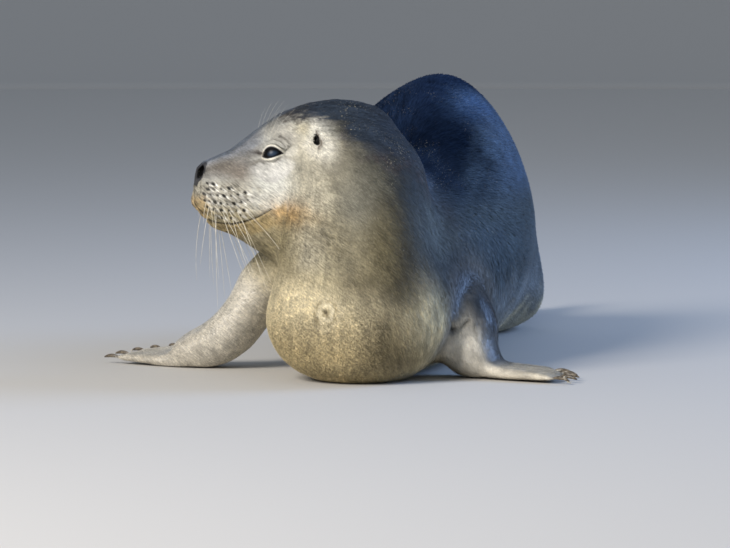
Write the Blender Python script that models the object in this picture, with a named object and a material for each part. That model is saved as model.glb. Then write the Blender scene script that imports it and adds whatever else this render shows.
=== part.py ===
"""A young grey seal hauled out on its chest, its back humped and its head turned to its right.

The seal is modelled at life size, in metres. Its chest faces -Y, its left side is +X, +Z is up and
the floor is z = 0. The origin lies on the floor under the middle of the seal's box.

The flesh is built as a sculptor would: tapering rings are swept along the trunk, neck, head and
limbs, the swept shapes are fused and smoothed into one hide, and thin cuts then part that hide into
the pieces that a person would name. Eyes and claws are pieces of their own, set into sockets.
"""

import math

import bmesh
import bpy
import numpy as np
from mathutils import Matrix, Vector
from mathutils.bvhtree import BVHTree

# ---- Driving dimensions ----------------------------------------------------------------------

TRUNK_LENGTH = 0.86  # breastbone to the root of the tail, in a straight line
TRUNK_HALF_WIDTH = 0.146
BACK_HEIGHT = 0.357  # top of the hump above the floor
SWAY_START = 0.60  # the hindquarters curl from here back
SWAY_REACH = 0.40
SWAY = 0.055  # sideways, after that reach
SINK = 0.004  # how far the belly is pressed flat by the floor

NOSE = Vector((-0.2133, 0.0452, 0.2442))  # tip of the nose
HEAD_TURN = math.radians(69.0)  # from straight ahead towards its right

EYE_RADIUS = 0.0138
EYE_PROUD = 0.0032  # how far the eyeball stands out of the side of the head
LID_THICKNESS = 0.0032
EYE_BACK = 0.0900  # from the tip of the nose
EYE_RISE = 0.0255
LID_OPENING = (0.0120, 0.0060, 0.0044)  # half length, height above and below the line of the eye

NOSTRIL_BACK = 0.0115
NOSTRIL_RADII = (0.0050, 0.0070, 0.0118)
EAR_BACK = 0.1420
EAR_RISE = 0.0430
EAR_RADII = (0.0034, 0.0070, 0.0080)
MOUTH_LINE = [  # back from the nose, height from the nose
    (0.004, -0.0480),
    (0.0125, -0.0548),
    (0.027, -0.0597),
    (0.0435, -0.0609),
    (0.0590, -0.0573),
    (0.0740, -0.0512),
    (0.0880, -0.0420),
]
MOUTH_GROOVE = 0.0016  # radius

FORE_DIGITS = [  # place across the wrist, angle towards the leading edge, length
    (0.0200, 5, 0.1180),
    (0.0100, 0, 0.1170),
    (0.0000, -6, 0.1090),
    (-0.0100, -12, 0.0980),
    (-0.0190, -19, 0.0850),
]
HIND_DIGITS = [
    (0.0200, 15, 0.1600),
    (0.0110, 9, 0.1360),
    (0.0020, 3, 0.1240),
    (-0.0070, -2, 0.1300),
    (-0.0150, -6, 0.1480),
]
DIGIT_RADIUS = 0.0105
WEB_HALF_THICKNESS = 0.0030
FORE_CLAW = (0.0260, 0.0032)  # length, half width
HIND_CLAW = (0.0180, 0.0026)

RING_POINTS = 64
VOXEL = 0.0035  # detail of the fused hide
FLESH_TRIANGLES = 2740
PREFERENCE = 0.000004  # how strongly thinning spares the face, hands and feet
GAP = 0.0003  # left between any two pieces


# ---- Swept shapes ----------------------------------------------------------------------------


def add_object(name, bm):
    """A new object in the scene from a finished bmesh."""
    mesh = bpy.data.meshes.new(name)
    bmesh.ops.recalc_face_normals(bm, faces=bm.faces)
    bm.to_mesh(mesh)
    bm.free()
    obj = bpy.data.objects.new(name, mesh)
    bpy.context.scene.collection.objects.link(obj)
    return obj


def flow(rows, count):
    """Rows resampled along a smooth curve; the first column is the position that the rest follow."""
    rows = np.array(rows, float)
    at = rows[:, 0]
    slopes = np.gradient(rows, at, axis=0)
    wanted = np.linspace(at[0], at[-1], count)
    low = np.clip(np.searchsorted(at, wanted) - 1, 0, len(at) - 2)
    span = (at[low + 1] - at[low])[:, None]
    t = (wanted - at[low])[:, None] / span
    return (
        (2 * t**3 - 3 * t**2 + 1) * rows[low]
        + (t**3 - 2 * t**2 + t) * span * slopes[low]
        + (3 * t**2 - 2 * t**3) * rows[low + 1]
        + (t**3 - t**2) * span * slopes[low + 1]
    )


def oval(half_width, rise, drop, top_power=2.0, bottom_power=2.0, count=RING_POINTS):
    """One cross-section as (across, up) pairs, whose upper and lower halves may be squarer."""
    points = []
    for k in range(count):
        turn = 2 * math.pi * k / count
        c = math.cos(turn)
        s = math.sin(turn)
        power = 2 / (top_power if s > 0 else bottom_power)
        height = rise if s > 0 else drop
        across = half_width * math.copysign(abs(c) ** power, c)
        points.append((across, height * math.copysign(abs(s) ** power, s)))
    return points


def rounding(position, length, start, end):
    """How much a section is drawn in near the ends, so that a swept shape closes as a dome."""
    near = min(1.0, (position + 1e-6) / start) if start else 1.0
    far = min(1.0, (length - position + 1e-6) / end) if end else 1.0
    return math.sqrt(1 - (1 - near) ** 2) * math.sqrt(1 - (1 - far) ** 2)


def tube(name, rings):
    """A closed mesh through rings of equal length, with flat ends."""
    bm = bmesh.new()
    loops = [[bm.verts.new(p) for p in ring] for ring in rings]
    for a, b in zip(loops, loops[1:]):
        for k in range(len(a)):
            bm.faces.new((a[k - 1], a[k], b[k], b[k - 1]))
    bm.faces.new(loops[0])
    bm.faces.new(loops[-1])
    return add_object(name, bm)


def sweep(name, path, up, count=40, start=0.25, end=0.25, points=RING_POINTS):
    """A limb or neck. Path rows are share, x, y, z, half width and half thickness; sections stand
    square to the path, with their thickness along up."""
    rows = flow(path, count)
    centres = rows[:, 1:4]
    tangents = np.gradient(centres, axis=0)
    length = rows[-1, 0] - rows[0, 0]
    rings = []
    for row, centre, tangent in zip(rows, centres, tangents):
        along = Vector(tangent).normalized()
        side = along.cross(Vector(up)).normalized()
        rise = side.cross(along)
        shrink = rounding(row[0] - rows[0, 0], length, start * length, end * length)
        section = oval(row[4] * shrink, row[5] * shrink, row[5] * shrink, count=points)
        rings.append([Vector(centre) + side * a + rise * b for a, b in section])
    return tube(name, rings)


# ---- Trunk and neck --------------------------------------------------------------------------


def trunk():
    """Ribs, hump and hips in one: upright sections from front to back.

    Columns: distance back as a share of the trunk's length, half width and height of the back as
    shares of their largest, height of the belly line, height of the widest level as a share.
    """
    rows = flow(
        [
            (0.00, 0.56, 0.40, 0.004, 0.42),
            (0.05, 0.70, 0.52, -0.002, 0.42),
            (0.12, 0.80, 0.64, -SINK, 0.40),
            (0.22, 0.90, 0.77, -SINK, 0.40),
            (0.34, 0.99, 0.92, -SINK, 0.43),
            (0.46, 0.95, 0.985, -0.003, 0.44),
            (0.57, 0.84, 0.995, 0.000, 0.44),
            (0.67, 0.73, 0.94, 0.000, 0.42),
            (0.77, 0.66, 0.78, -SINK, 0.36),
            (0.87, 0.65, 0.52, -SINK, 0.28),
            (0.95, 0.52, 0.36, -0.002, 0.34),
            (1.02, 0.26, 0.25, 0.030, 0.45),
        ],
        90,
    )
    rings = []
    first = rows[0, 0]
    last = rows[-1, 0]
    for share, wide, high, belly, level in rows:
        shrink = rounding(share - first, last - first, 0.05, 0.05)
        half_width = TRUNK_HALF_WIDTH * wide * shrink
        top = BACK_HEIGHT * high
        widest = belly + (top - belly) * level
        rise = (top - widest) * shrink
        drop = (widest - belly) * shrink
        section = oval(half_width, rise, drop, 1.68, 2.15)
        rings.append([Vector((a, TRUNK_LENGTH * share, widest + b)) for a, b in section])
    return tube("trunk_form", rings)


def neck():
    """Breast and thick neck as one upright column, which leans back as it nears the head."""
    path = [
        (0.00, -0.006, 0.038, -0.010, 0.072, 0.080),
        (0.12, -0.006, 0.037, 0.028, 0.096, 0.098),
        (0.24, -0.007, 0.038, 0.064, 0.113, 0.106),
        (0.34, -0.007, 0.042, 0.095, 0.110, 0.106),
        (0.46, -0.009, 0.052, 0.132, 0.099, 0.101),
        (0.60, -0.014, 0.066, 0.180, 0.092, 0.096),
        (0.75, -0.021, 0.086, 0.230, 0.086, 0.093),
        (0.90, -0.028, 0.102, 0.280, 0.079, 0.087),
        (1.00, -0.031, 0.112, 0.322, 0.073, 0.080),
    ]
    return sweep("neck_form", path, (0.0, -1.0, 0.0), start=0.12, end=0.22)


# ---- The head --------------------------------------------------------------------------------

FORWARD = Vector((-math.sin(HEAD_TURN), -math.cos(HEAD_TURN), 0.0))
UP = Vector((0.0, 0.0, 1.0))
LEFT = UP.cross(FORWARD)


def in_head(back, out, rise):
    """A place on the head, from the tip of the nose: back, out to its left, and up."""
    return NOSE - FORWARD * back + LEFT * out + UP * rise


def skull():
    """Muzzle, brow and crown. Columns: back from the nose, top, bottom, half width, widest level."""
    rows = flow(
        [
            (0.001, 0.0060, -0.0420, 0.0170, -0.018),
            (0.010, 0.0140, -0.0540, 0.0270, -0.024),
            (0.025, 0.0205, -0.0650, 0.0330, -0.028),
            (0.045, 0.0295, -0.0770, 0.0380, -0.030),
            (0.065, 0.0440, -0.0890, 0.0440, -0.030),
            (0.085, 0.0610, -0.1020, 0.0530, -0.027),
            (0.105, 0.0735, -0.1150, 0.0610, -0.022),
            (0.130, 0.0835, -0.1290, 0.0690, -0.018),
            (0.155, 0.0890, -0.1410, 0.0735, -0.016),
            (0.180, 0.0905, -0.1470, 0.0750, -0.015),
            (0.205, 0.0870, -0.1440, 0.0745, -0.015),
            (0.235, 0.0750, -0.1290, 0.0700, -0.015),
            (0.262, 0.0500, -0.1000, 0.0580, -0.012),
        ],
        80,
    )
    rings = []
    first = rows[0, 0]
    last = rows[-1, 0]
    for back, top, bottom, half_width, level in rows:
        shrink = rounding(back - first, last - first, 0.009, 0.030)
        rise = (top - level) * shrink
        drop = (level - bottom) * shrink
        section = oval(half_width * shrink, rise, drop, 2.1, 2.1)
        rings.append([in_head(back, a, level + b) for a, b in section])
    return tube("skull_form", rings)


def lump(name, centre, radii, tilt=0.0, detail=(48, 32)):
    """An oval ball, its radii along the head's forward, left and up; tilt leans its top back."""
    axes = Matrix((FORWARD, LEFT, UP)).transposed().to_4x4()
    lean = Matrix.Rotation(-tilt, 4, "Y")
    bm = bmesh.new()
    bmesh.ops.create_uvsphere(bm, u_segments=detail[0], v_segments=detail[1], radius=1.0)
    place = Matrix.Translation(centre) @ axes @ lean @ Matrix.Diagonal((*radii, 1.0))
    bmesh.ops.transform(bm, matrix=place, verts=bm.verts)
    return add_object(name, bm)


def skin_point(tree, back, rise, side, lead=0.0):
    """Where a line from beside the head (or from ahead of it, as lead grows) meets the skin."""
    start = in_head(back - 0.15 * lead, side * 0.15, rise)
    aim = (in_head(back, 0.0, rise) - start).normalized()
    place, normal, _, _ = tree.ray_cast(start, aim)
    if place is None:
        place, normal, _, _ = tree.find_nearest(in_head(back, side * 0.02, rise))
    return place, normal


def face_lumps(tree):
    """Chin, whisker pads and eyelids, which stand out from the skull, and the eyes' centres."""
    lumps = [lump("chin", in_head(0.046, 0.0, -0.0580), (0.030, 0.0210, 0.0150))]
    centres = {}
    for side, word in ((-1, "right"), (1, "left")):
        lumps.append(lump("pad", in_head(0.040, side * 0.0165, -0.0330), (0.0405, 0.0240, 0.0250)))
        place, normal = skin_point(tree, EYE_BACK, EYE_RISE, side)
        centre = place - normal * (EYE_RADIUS - EYE_PROUD)
        lid = EYE_RADIUS + LID_THICKNESS
        lumps.append(lump("lids", centre, (lid, lid, lid)))
        centres[word] = (centre, normal)
    return lumps, centres


def lid_opening(centre, outward):
    """The almond between the lids, as a prism that runs out from inside the eyeball."""
    half, above, below = LID_OPENING
    along = UP.cross(outward).normalized()
    if along.dot(FORWARD) < 0:
        along = -along
    rise = outward.cross(along)
    if rise.z < 0:
        rise = -rise
    rings = []
    for reach in (0.006, 0.030):
        ring = []
        for k in range(20):
            turn = 2 * math.pi * k / 20
            height = above if math.sin(turn) > 0 else below
            lens = math.copysign(abs(math.sin(turn)) ** 1.3, math.sin(turn))
            flat = along * half * math.cos(turn) + rise * height * lens
            ring.append(centre + outward * reach + flat)
        rings.append(ring)
    return tube("lid_opening", rings)


def mouth(tree, side):
    """A thin cord laid on the skin along the mouth, to be taken away as a groove."""
    points = [skin_point(tree, back, rise, side)[0] for back, rise in MOUTH_LINE]
    last = len(points) - 1
    path = [(k / last, *p, MOUTH_GROOVE, MOUTH_GROOVE) for k, p in enumerate(points)]
    return sweep("mouth_cord", path, UP, count=24, start=0.05, end=0.1, points=8)


# ---- The flippers ----------------------------------------------------------------------------


def hand(name, wrist, outward, chord, up, digits):
    """Digits fanned from the wrist, with their webs; also each digit's tip and direction."""
    wrist = Vector(wrist)
    outward = Vector(outward).normalized()
    chord = Vector(chord).normalized()
    up = Vector(up).normalized()
    forms = []
    tips = []
    for k, (across, angle, length) in enumerate(digits):
        along = outward * math.cos(math.radians(angle)) + chord * math.sin(math.radians(angle))
        root = wrist + chord * across - outward * 0.012
        middle = root + along * length * 0.55
        tip = root + along * length
        path = [
            (0.0, *root, DIGIT_RADIUS, DIGIT_RADIUS),
            (0.5, *middle, DIGIT_RADIUS * 0.85, DIGIT_RADIUS * 0.75),
            (1.0, *tip, DIGIT_RADIUS * 0.65, DIGIT_RADIUS * 0.52),
        ]
        forms.append(sweep(f"{name}_digit_{k + 1}", path, up, count=20, start=0.1, end=0.07))
        tips.append((tip, along, up))
    rim = [wrist.lerp(tip, 0.90) for tip, _, _ in tips]
    heel = [wrist.lerp(tip, 0.05) for tip, _, _ in tips]
    edge = rim + heel[::-1]
    lift = up * WEB_HALF_THICKNESS
    forms.append(tube(f"{name}_web", [[p - lift for p in edge], [p + lift for p in edge]]))
    return forms, tips


def limbs():
    """Arms, hands, legs and feet as forms, and where the claws go."""
    floor_up = (0.0, 0.0, 1.0)
    forms = []
    digits = {}
    right_arm = [
        (0.00, -0.060, 0.150, 0.128, 0.056, 0.052),
        (0.20, -0.108, 0.144, 0.124, 0.054, 0.046),
        (0.40, -0.145, 0.139, 0.104, 0.048, 0.036),
        (0.58, -0.167, 0.135, 0.072, 0.042, 0.031),
        (0.72, -0.190, 0.134, 0.044, 0.039, 0.031),
        (0.86, -0.224, 0.141, 0.025, 0.036, 0.028),
        (1.00, -0.268, 0.156, 0.018, 0.034, 0.018),
    ]
    forms.append(sweep("right_arm", right_arm, (-0.4, 0.0, 1.0), end=0.1))
    wrist = (-0.240, 0.147, 0.0100)
    out = (-1, 0.42, 0.030)
    hand_up = (0.02, -0.16, 1)
    more, tips = hand("fore_right", wrist, out, (-0.42, -1, -0.15), hand_up, FORE_DIGITS)
    forms += more
    digits["foreflipper_right"] = tips
    left_arm = [
        (0.00, 0.045, 0.150, 0.105, 0.050, 0.045),
        (0.30, 0.086, 0.128, 0.088, 0.046, 0.042),
        (0.55, 0.107, 0.106, 0.062, 0.042, 0.042),
        (0.75, 0.117, 0.095, 0.038, 0.040, 0.041),
        (0.88, 0.132, 0.088, 0.023, 0.037, 0.030),
        (1.00, 0.158, 0.082, 0.012, 0.033, 0.015),
    ]
    forms.append(sweep("left_arm", left_arm, (0.4, 0.0, 1.0), end=0.1))
    wrist = (0.148, 0.086, 0.010)
    more, tips = hand("fore_left", wrist, (1, -0.30, -0.035), (-0.30, -1, 0), floor_up, FORE_DIGITS)
    forms += more
    digits["foreflipper_left"] = tips
    for side, word in ((-1, "right"), (1, "left")):
        leg = [
            (0.00, side * 0.030, 0.780, 0.075, 0.052, 0.034),
            (0.35, side * 0.046, 0.840, 0.058, 0.038, 0.030),
            (0.70, side * 0.054, 0.895, 0.044, 0.028, 0.020),
            (1.00, side * 0.058, 0.940, 0.038, 0.027, 0.012),
        ]
        out = (side, 0.0, -0.15)
        forms.append(sweep(f"{word}_leg", leg, out, end=0.1))
        wrist = (side * 0.058, 0.925, 0.035)
        chord = (side * 0.15, 0.0, 1.0)
        more, tips = hand(f"hind_{word}", wrist, (side * 0.06, 1, 0), chord, out, HIND_DIGITS)
        forms += more
        digits[f"hindflipper_{word}"] = tips
    tail = [
        (0.0, 0.0, 0.790, 0.105, 0.034, 0.026),
        (0.4, 0.0, 0.860, 0.098, 0.025, 0.016),
        (0.7, 0.0, 0.905, 0.088, 0.021, 0.012),
        (1.0, 0.0, 0.950, 0.076, 0.015, 0.008),
    ]
    forms.append(sweep("tail_form", tail, floor_up, end=0.15))
    return forms, digits


def claw(name, tip, along, up, size, spare=0.0):
    """A curved horn claw rooted in the end of a digit; spare swells it to cut its socket."""
    length, half = size
    root = tip - along * (length * 0.42 + spare) + up * 0.0005
    bend = tip + along * length * 0.15 + up * 0.0012
    point = tip + along * (length * 0.58 + spare) - up * 0.0025
    path = [
        (0.0, *root, half * 0.95 + spare, half * 0.85 + spare),
        (0.5, *bend, half * 0.85 + spare, half * 0.80 + spare),
        (1.0, *point, half * 0.25 + spare, half * 0.22 + spare),
    ]
    return sweep(name, path, up, count=5, start=0.12, end=0.12, points=6)


# ---- Fusing and cutting ----------------------------------------------------------------------


def join(forms):
    bpy.ops.object.select_all(action="DESELECT")
    for form in forms:
        form.select_set(True)
    bpy.context.view_layer.objects.active = forms[0]
    bpy.ops.object.join()
    return forms[0]


def apply_all(obj):
    bpy.ops.object.select_all(action="DESELECT")
    obj.select_set(True)
    bpy.context.view_layer.objects.active = obj
    for modifier in list(obj.modifiers):
        bpy.ops.object.modifier_apply(modifier=modifier.name)


def fuse(name, forms):
    """One closed skin round all the forms."""
    whole = join(forms)
    whole.name = name
    remesh = whole.modifiers.new("Fuse", "REMESH")
    remesh.mode = "VOXEL"
    remesh.voxel_size = VOXEL
    apply_all(whole)
    return whole


def vertex_places(mesh):
    places = np.empty(len(mesh.vertices) * 3)
    mesh.vertices.foreach_get("co", places)
    return places.reshape(-1, 3)


def relax(obj, rounds, weight):
    """Evens out a mesh, by a share of the way at each round; weight maps places to shares."""
    mesh = obj.data
    places = vertex_places(mesh)
    edges = np.empty(len(mesh.edges) * 2, int)
    mesh.edges.foreach_get("vertices", edges)
    a, b = edges.reshape(-1, 2).T
    size = len(places)
    count = np.bincount(a, minlength=size) + np.bincount(b, minlength=size)
    share = weight(places)[:, None]
    for _ in range(rounds):
        total = np.empty_like(places)
        for k in range(3):
            total[:, k] = np.bincount(a, places[b, k], size) + np.bincount(b, places[a, k], size)
        places += share * (total / count[:, None] - places)
    mesh.vertices.foreach_set("co", places.ravel())
    mesh.update()


def ramp(values, low, high):
    """0 below low, 1 above high, straight between."""
    return np.clip((values - low) / (high - low), 0.0, 1.0)


def from_nose(places):
    return np.linalg.norm(places - np.array(NOSE), axis=1)


def near_digits(places, digits):
    """1 close to any digit's tip, falling to 0 away from the hands and feet."""
    nearest = np.full(len(places), 9.0)
    for tips in digits.values():
        for tip, along, _ in tips:
            for reach in (0.0, 0.05):
                there = np.array(tip - along * reach)
                nearest = np.minimum(nearest, np.linalg.norm(places - there, axis=1))
    return 1 - ramp(nearest, 0.030, 0.075)


def thin_out(obj, digits):
    """Fewer triangles, spent mostly on the face, hands and feet."""
    places = vertex_places(obj.data)
    face = 1 - ramp(from_nose(places), 0.10, 0.19)
    keep = np.maximum(face, near_digits(places, digits) * 0.8)
    group = obj.vertex_groups.new(name="spend")
    levels = np.round(keep * 8) / 8
    for level in np.unique(levels):
        chosen = np.nonzero(levels == level)[0]
        group.add(chosen.tolist(), float(1 - level * 0.7), "REPLACE")
    triangles = 2 * len(obj.data.polygons)
    decimate = obj.modifiers.new("Thin", "DECIMATE")
    decimate.ratio = FLESH_TRIANGLES / triangles
    decimate.vertex_group = group.name
    decimate.vertex_group_factor = PREFERENCE
    decimate.use_collapse_triangulate = True
    apply_all(obj)
    obj.vertex_groups.clear()


def cut_away(obj, cutter):
    difference = obj.modifiers.new("Cut", "BOOLEAN")
    difference.operation = "DIFFERENCE"
    difference.solver = "EXACT"
    difference.object = cutter
    apply_all(obj)
    bpy.data.objects.remove(cutter)


def blade(name, corners, normal):
    """A sheet as thick as the gap, through coplanar corners."""
    normal = Vector(normal).normalized()
    half = normal * GAP / 2
    corners = [Vector(c) for c in corners]
    return tube(name, [[c - half for c in corners], [c + half for c in corners]])


def square_blade(name, centre, normal, width, height, up=(0.0, 0.0, 1.0)):
    """A rectangular sheet; width runs level and height as near to up as the normal allows."""
    centre = Vector(centre)
    normal = Vector(normal).normalized()
    across = Vector(up).cross(normal).normalized()
    rise = normal.cross(across)
    corners = []
    for a, b in ((-1, -1), (1, -1), (1, 1), (-1, 1)):
        corners.append(centre + across * a * width / 2 + rise * b * height / 2)
    return blade(name, corners, normal)


def below_floor():
    """Everything below the floor, so that what rests there is flat."""
    bm = bmesh.new()
    bmesh.ops.create_cube(bm, size=1.0)
    place = Matrix.Translation((0.0, 0.5, -0.05)) @ Matrix.Diagonal((2.0, 2.0, 0.1, 1.0))
    bmesh.ops.transform(bm, matrix=place, verts=bm.verts)
    return add_object("below_floor", bm)


def neck_blade():
    """Parts neck from trunk on a slant from the breastbone to the nape, widest low down."""
    low = Vector((0.0, 0.008, 0.0))
    high = Vector((0.0, 0.198, 0.265))
    climb = high - low
    normal = Vector((0.0, -climb.z, climb.y))
    corners = []
    for x, share in ((0.112, -0.1), (0.122, 0.35), (0.11, 0.75), (0.095, 1.15)):
        corners.append(low + climb * share + Vector((x, 0, 0)))
    for x, share in ((-0.150, 1.15), (-0.19, 0.75), (-0.19, 0.35), (-0.13, -0.1)):
        corners.append(low + climb * share + Vector((x, 0, 0)))
    return blade("neck_cut", corners, normal)


def cuts():
    """Each seam as the piece that it parts, the name of what it takes off, and its blade."""
    level = (0, 1, 0)
    jaw = in_head(0.170, 0.0, -0.0525)
    jaw_normal = -FORWARD * 0.74 - UP * 0.673
    yield "ribs", "neck", neck_blade()
    yield "neck", "head", square_blade("seam", jaw, jaw_normal, 0.40, 0.50)
    armpit = (-0.158, 0.137, 0.088)
    right = square_blade("seam", armpit, (-0.55, -0.08, -0.80), 0.120, 0.100)
    yield "ribs", "foreflipper_right", right
    left = square_blade("seam", (0.119, 0.110, 0.060), (0.985, -0.17, 0.0), 0.12, 0.17)
    yield "ribs", "foreflipper_left", left
    yield "ribs", "loins", square_blade("seam", (0, 0.400, 0.18), level, 0.60, 0.60)
    yield "loins", "hips", square_blade("seam", (0, 0.660, 0.18), level, 0.60, 0.60)
    yield "hips", "tail", square_blade("seam", (0, 0.892, 0.094), level, 0.055, 0.040)
    for side, word in ((-1, "right"), (1, "left")):
        ankle = (side * 0.055, 0.905, 0.035)
        seam = square_blade("seam", ankle, (side * 0.1, 1, 0), 0.058, 0.080)
        yield "hips", f"hindflipper_{word}", seam


LANDMARKS = {
    "head": in_head(0.090, 0.0, 0.0),
    "neck": Vector((-0.010, 0.060, 0.130)),
    "ribs": Vector((0.0, 0.270, 0.130)),
    "loins": Vector((0.0, 0.530, 0.170)),
    "hips": Vector((0.0, 0.760, 0.100)),
    "tail": Vector((0.0, 0.920, 0.085)),
    "foreflipper_right": Vector((-0.240, 0.150, 0.020)),
    "foreflipper_left": Vector((0.180, 0.080, 0.020)),
    "hindflipper_right": Vector((-0.062, 0.980, 0.038)),
    "hindflipper_left": Vector((0.062, 0.980, 0.038)),
}


def part_flesh(hide):
    """Cuts the hide along its seams, one at a time, and names what each cut takes off."""
    pieces = {"ribs": hide}
    for old, new, seam in cuts():
        cut_away(pieces[old], seam)
        bpy.ops.mesh.separate(type="LOOSE")
        halves = list(bpy.context.selected_objects)
        if len(halves) != 2:
            raise ValueError(f"the seam of {new} leaves {len(halves)} pieces")
        goal = LANDMARKS[new]
        halves.sort(key=lambda obj: (Vector(vertex_places(obj.data).mean(axis=0)) - goal).length)
        pieces[new] = halves[0]
        pieces[old] = halves[1]
    for name, obj in pieces.items():
        obj.name = name
        obj.data.name = name
    return pieces


def sway(places):
    """The hindquarters curl a little towards the seal's right."""
    reach = np.maximum(places[:, 1] - SWAY_START, 0.0) / SWAY_REACH
    places[:, 0] -= SWAY * reach**2
    return places


# ---- Finish ----------------------------------------------------------------------------------

TONES = {  # base colour and roughness
    "head": ((0.330, 0.290, 0.235, 1.0), 0.62),
    "neck": ((0.360, 0.310, 0.230, 1.0), 0.64),
    "ribs": ((0.120, 0.125, 0.130, 1.0), 0.60),
    "loins": ((0.070, 0.078, 0.090, 1.0), 0.58),
    "hips": ((0.085, 0.090, 0.100, 1.0), 0.60),
    "tail": ((0.130, 0.130, 0.130, 1.0), 0.64),
    "foreflipper": ((0.140, 0.140, 0.140, 1.0), 0.55),
    "hindflipper": ((0.120, 0.122, 0.125, 1.0), 0.56),
    "eye": ((0.012, 0.009, 0.007, 1.0), 0.06),
    "claw": ((0.090, 0.070, 0.050, 1.0), 0.38),
}


def paint(obj, tone):
    colour, roughness = TONES[tone]
    material = bpy.data.materials.new(f"{obj.name}_surface")
    material.use_nodes = True
    shader = material.node_tree.nodes["Principled BSDF"]
    shader.inputs["Base Color"].default_value = colour
    shader.inputs["Roughness"].default_value = roughness
    material.diffuse_color = colour
    obj.data.materials.clear()
    obj.data.materials.append(material)


def main():
    for obj in list(bpy.data.objects):
        bpy.data.objects.remove(obj)
    forms, digits = limbs()
    body = fuse("hide", [trunk(), neck(), skull()])
    relax(body, 60, lambda places: 0.5 * ramp(from_nose(places), 0.07, 0.15))
    tree = BVHTree.FromObject(body, bpy.context.evaluated_depsgraph_get())
    lumps, eyes = face_lumps(tree)
    hide = fuse("hide", [body, *lumps, *forms])
    relax(hide, 5, lambda places: np.full(len(places), 0.5))
    thin_out(hide, digits)

    tree = BVHTree.FromObject(hide, bpy.context.evaluated_depsgraph_get())
    cutters = [below_floor()]
    finished = {}
    for side, word in ((-1, "right"), (1, "left")):
        centre, outward = eyes[word]
        room = EYE_RADIUS + GAP
        cutters.append(lump("socket", centre, (room, room, room), detail=(20, 12)))
        cutters.append(lid_opening(centre, outward))
        ball = lump(f"eye_{word}", centre, (EYE_RADIUS,) * 3, detail=(20, 12))
        finished[ball.name] = (ball, "eye")
        nostril, _ = skin_point(tree, NOSTRIL_BACK, -0.0005, side, lead=0.3)
        cutters.append(lump("nostril", nostril, NOSTRIL_RADII, math.radians(24), (16, 10)))
        ear, _ = skin_point(tree, EAR_BACK, EAR_RISE, side)
        cutters.append(lump("ear", ear, EAR_RADII, 0.0, (16, 10)))
        cutters.append(mouth(tree, side))
    for limb, tips in digits.items():
        size = FORE_CLAW if limb.startswith("fore") else HIND_CLAW
        for k, (tip, along, up) in enumerate(tips):
            name = f"{limb}_claw_{k + 1}"
            cutters.append(claw("claw_socket", tip, along, up, size, GAP))
            finished[name] = (claw(name, tip, along, up, size), "claw")
    for cutter in cutters:
        cut_away(hide, cutter)
    for name, obj in part_flesh(hide).items():
        finished[name] = (obj, name.split("_")[0])

    low = np.full(3, 9.0)
    high = -low
    for obj, _ in finished.values():
        places = sway(vertex_places(obj.data))
        obj.data.vertices.foreach_set("co", places.ravel())
        low = np.minimum(low, places.min(axis=0))
        high = np.maximum(high, places.max(axis=0))
    shift = Vector((-(low[0] + high[0]) / 2, -(low[1] + high[1]) / 2, -low[2]))
    for obj, tone in finished.values():
        obj.data.transform(Matrix.Translation(shift))
        obj.data.update()
        paint(obj, tone)


main()
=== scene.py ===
"""Young grey seal, hauled out on its chest with its head turned aside, as a life-size still model.

The order is hide, eyes, claws, coat, whiskers, and then the stage, lights and camera.
"""

import math

import bmesh
import bpy
import numpy as np
from mathutils import Matrix, Vector, noise
from mathutils.bvhtree import BVHTree


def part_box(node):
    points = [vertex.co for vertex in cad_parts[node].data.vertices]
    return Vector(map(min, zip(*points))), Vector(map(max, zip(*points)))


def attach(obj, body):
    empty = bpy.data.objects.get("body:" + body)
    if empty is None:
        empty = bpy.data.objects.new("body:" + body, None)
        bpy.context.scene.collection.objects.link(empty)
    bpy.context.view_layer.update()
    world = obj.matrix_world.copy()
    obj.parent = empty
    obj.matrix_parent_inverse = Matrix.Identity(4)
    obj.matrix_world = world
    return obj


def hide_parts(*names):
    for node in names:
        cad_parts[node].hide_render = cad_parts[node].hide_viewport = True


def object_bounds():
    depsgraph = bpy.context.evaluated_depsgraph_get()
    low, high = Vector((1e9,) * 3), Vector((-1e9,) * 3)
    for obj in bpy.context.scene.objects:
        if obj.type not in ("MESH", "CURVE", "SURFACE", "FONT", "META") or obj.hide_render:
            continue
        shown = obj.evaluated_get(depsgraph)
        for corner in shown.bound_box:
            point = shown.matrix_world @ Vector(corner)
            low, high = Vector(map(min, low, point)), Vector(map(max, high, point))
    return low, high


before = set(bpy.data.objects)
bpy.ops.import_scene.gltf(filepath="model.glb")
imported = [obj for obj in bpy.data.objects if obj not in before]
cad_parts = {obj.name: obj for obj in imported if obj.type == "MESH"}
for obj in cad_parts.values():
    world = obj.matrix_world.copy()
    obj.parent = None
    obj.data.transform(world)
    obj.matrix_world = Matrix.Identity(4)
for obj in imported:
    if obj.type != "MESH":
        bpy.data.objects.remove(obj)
cad_low, cad_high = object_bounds()

# ---- Hide: one skin --------------------------------------------------------------------------
# The seal's skin from the nose to the hind toes, taut over blubber and without a seam. It is
# fused from the solids of the flesh, evened out, and drawn in by the depth of the coat.

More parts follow.
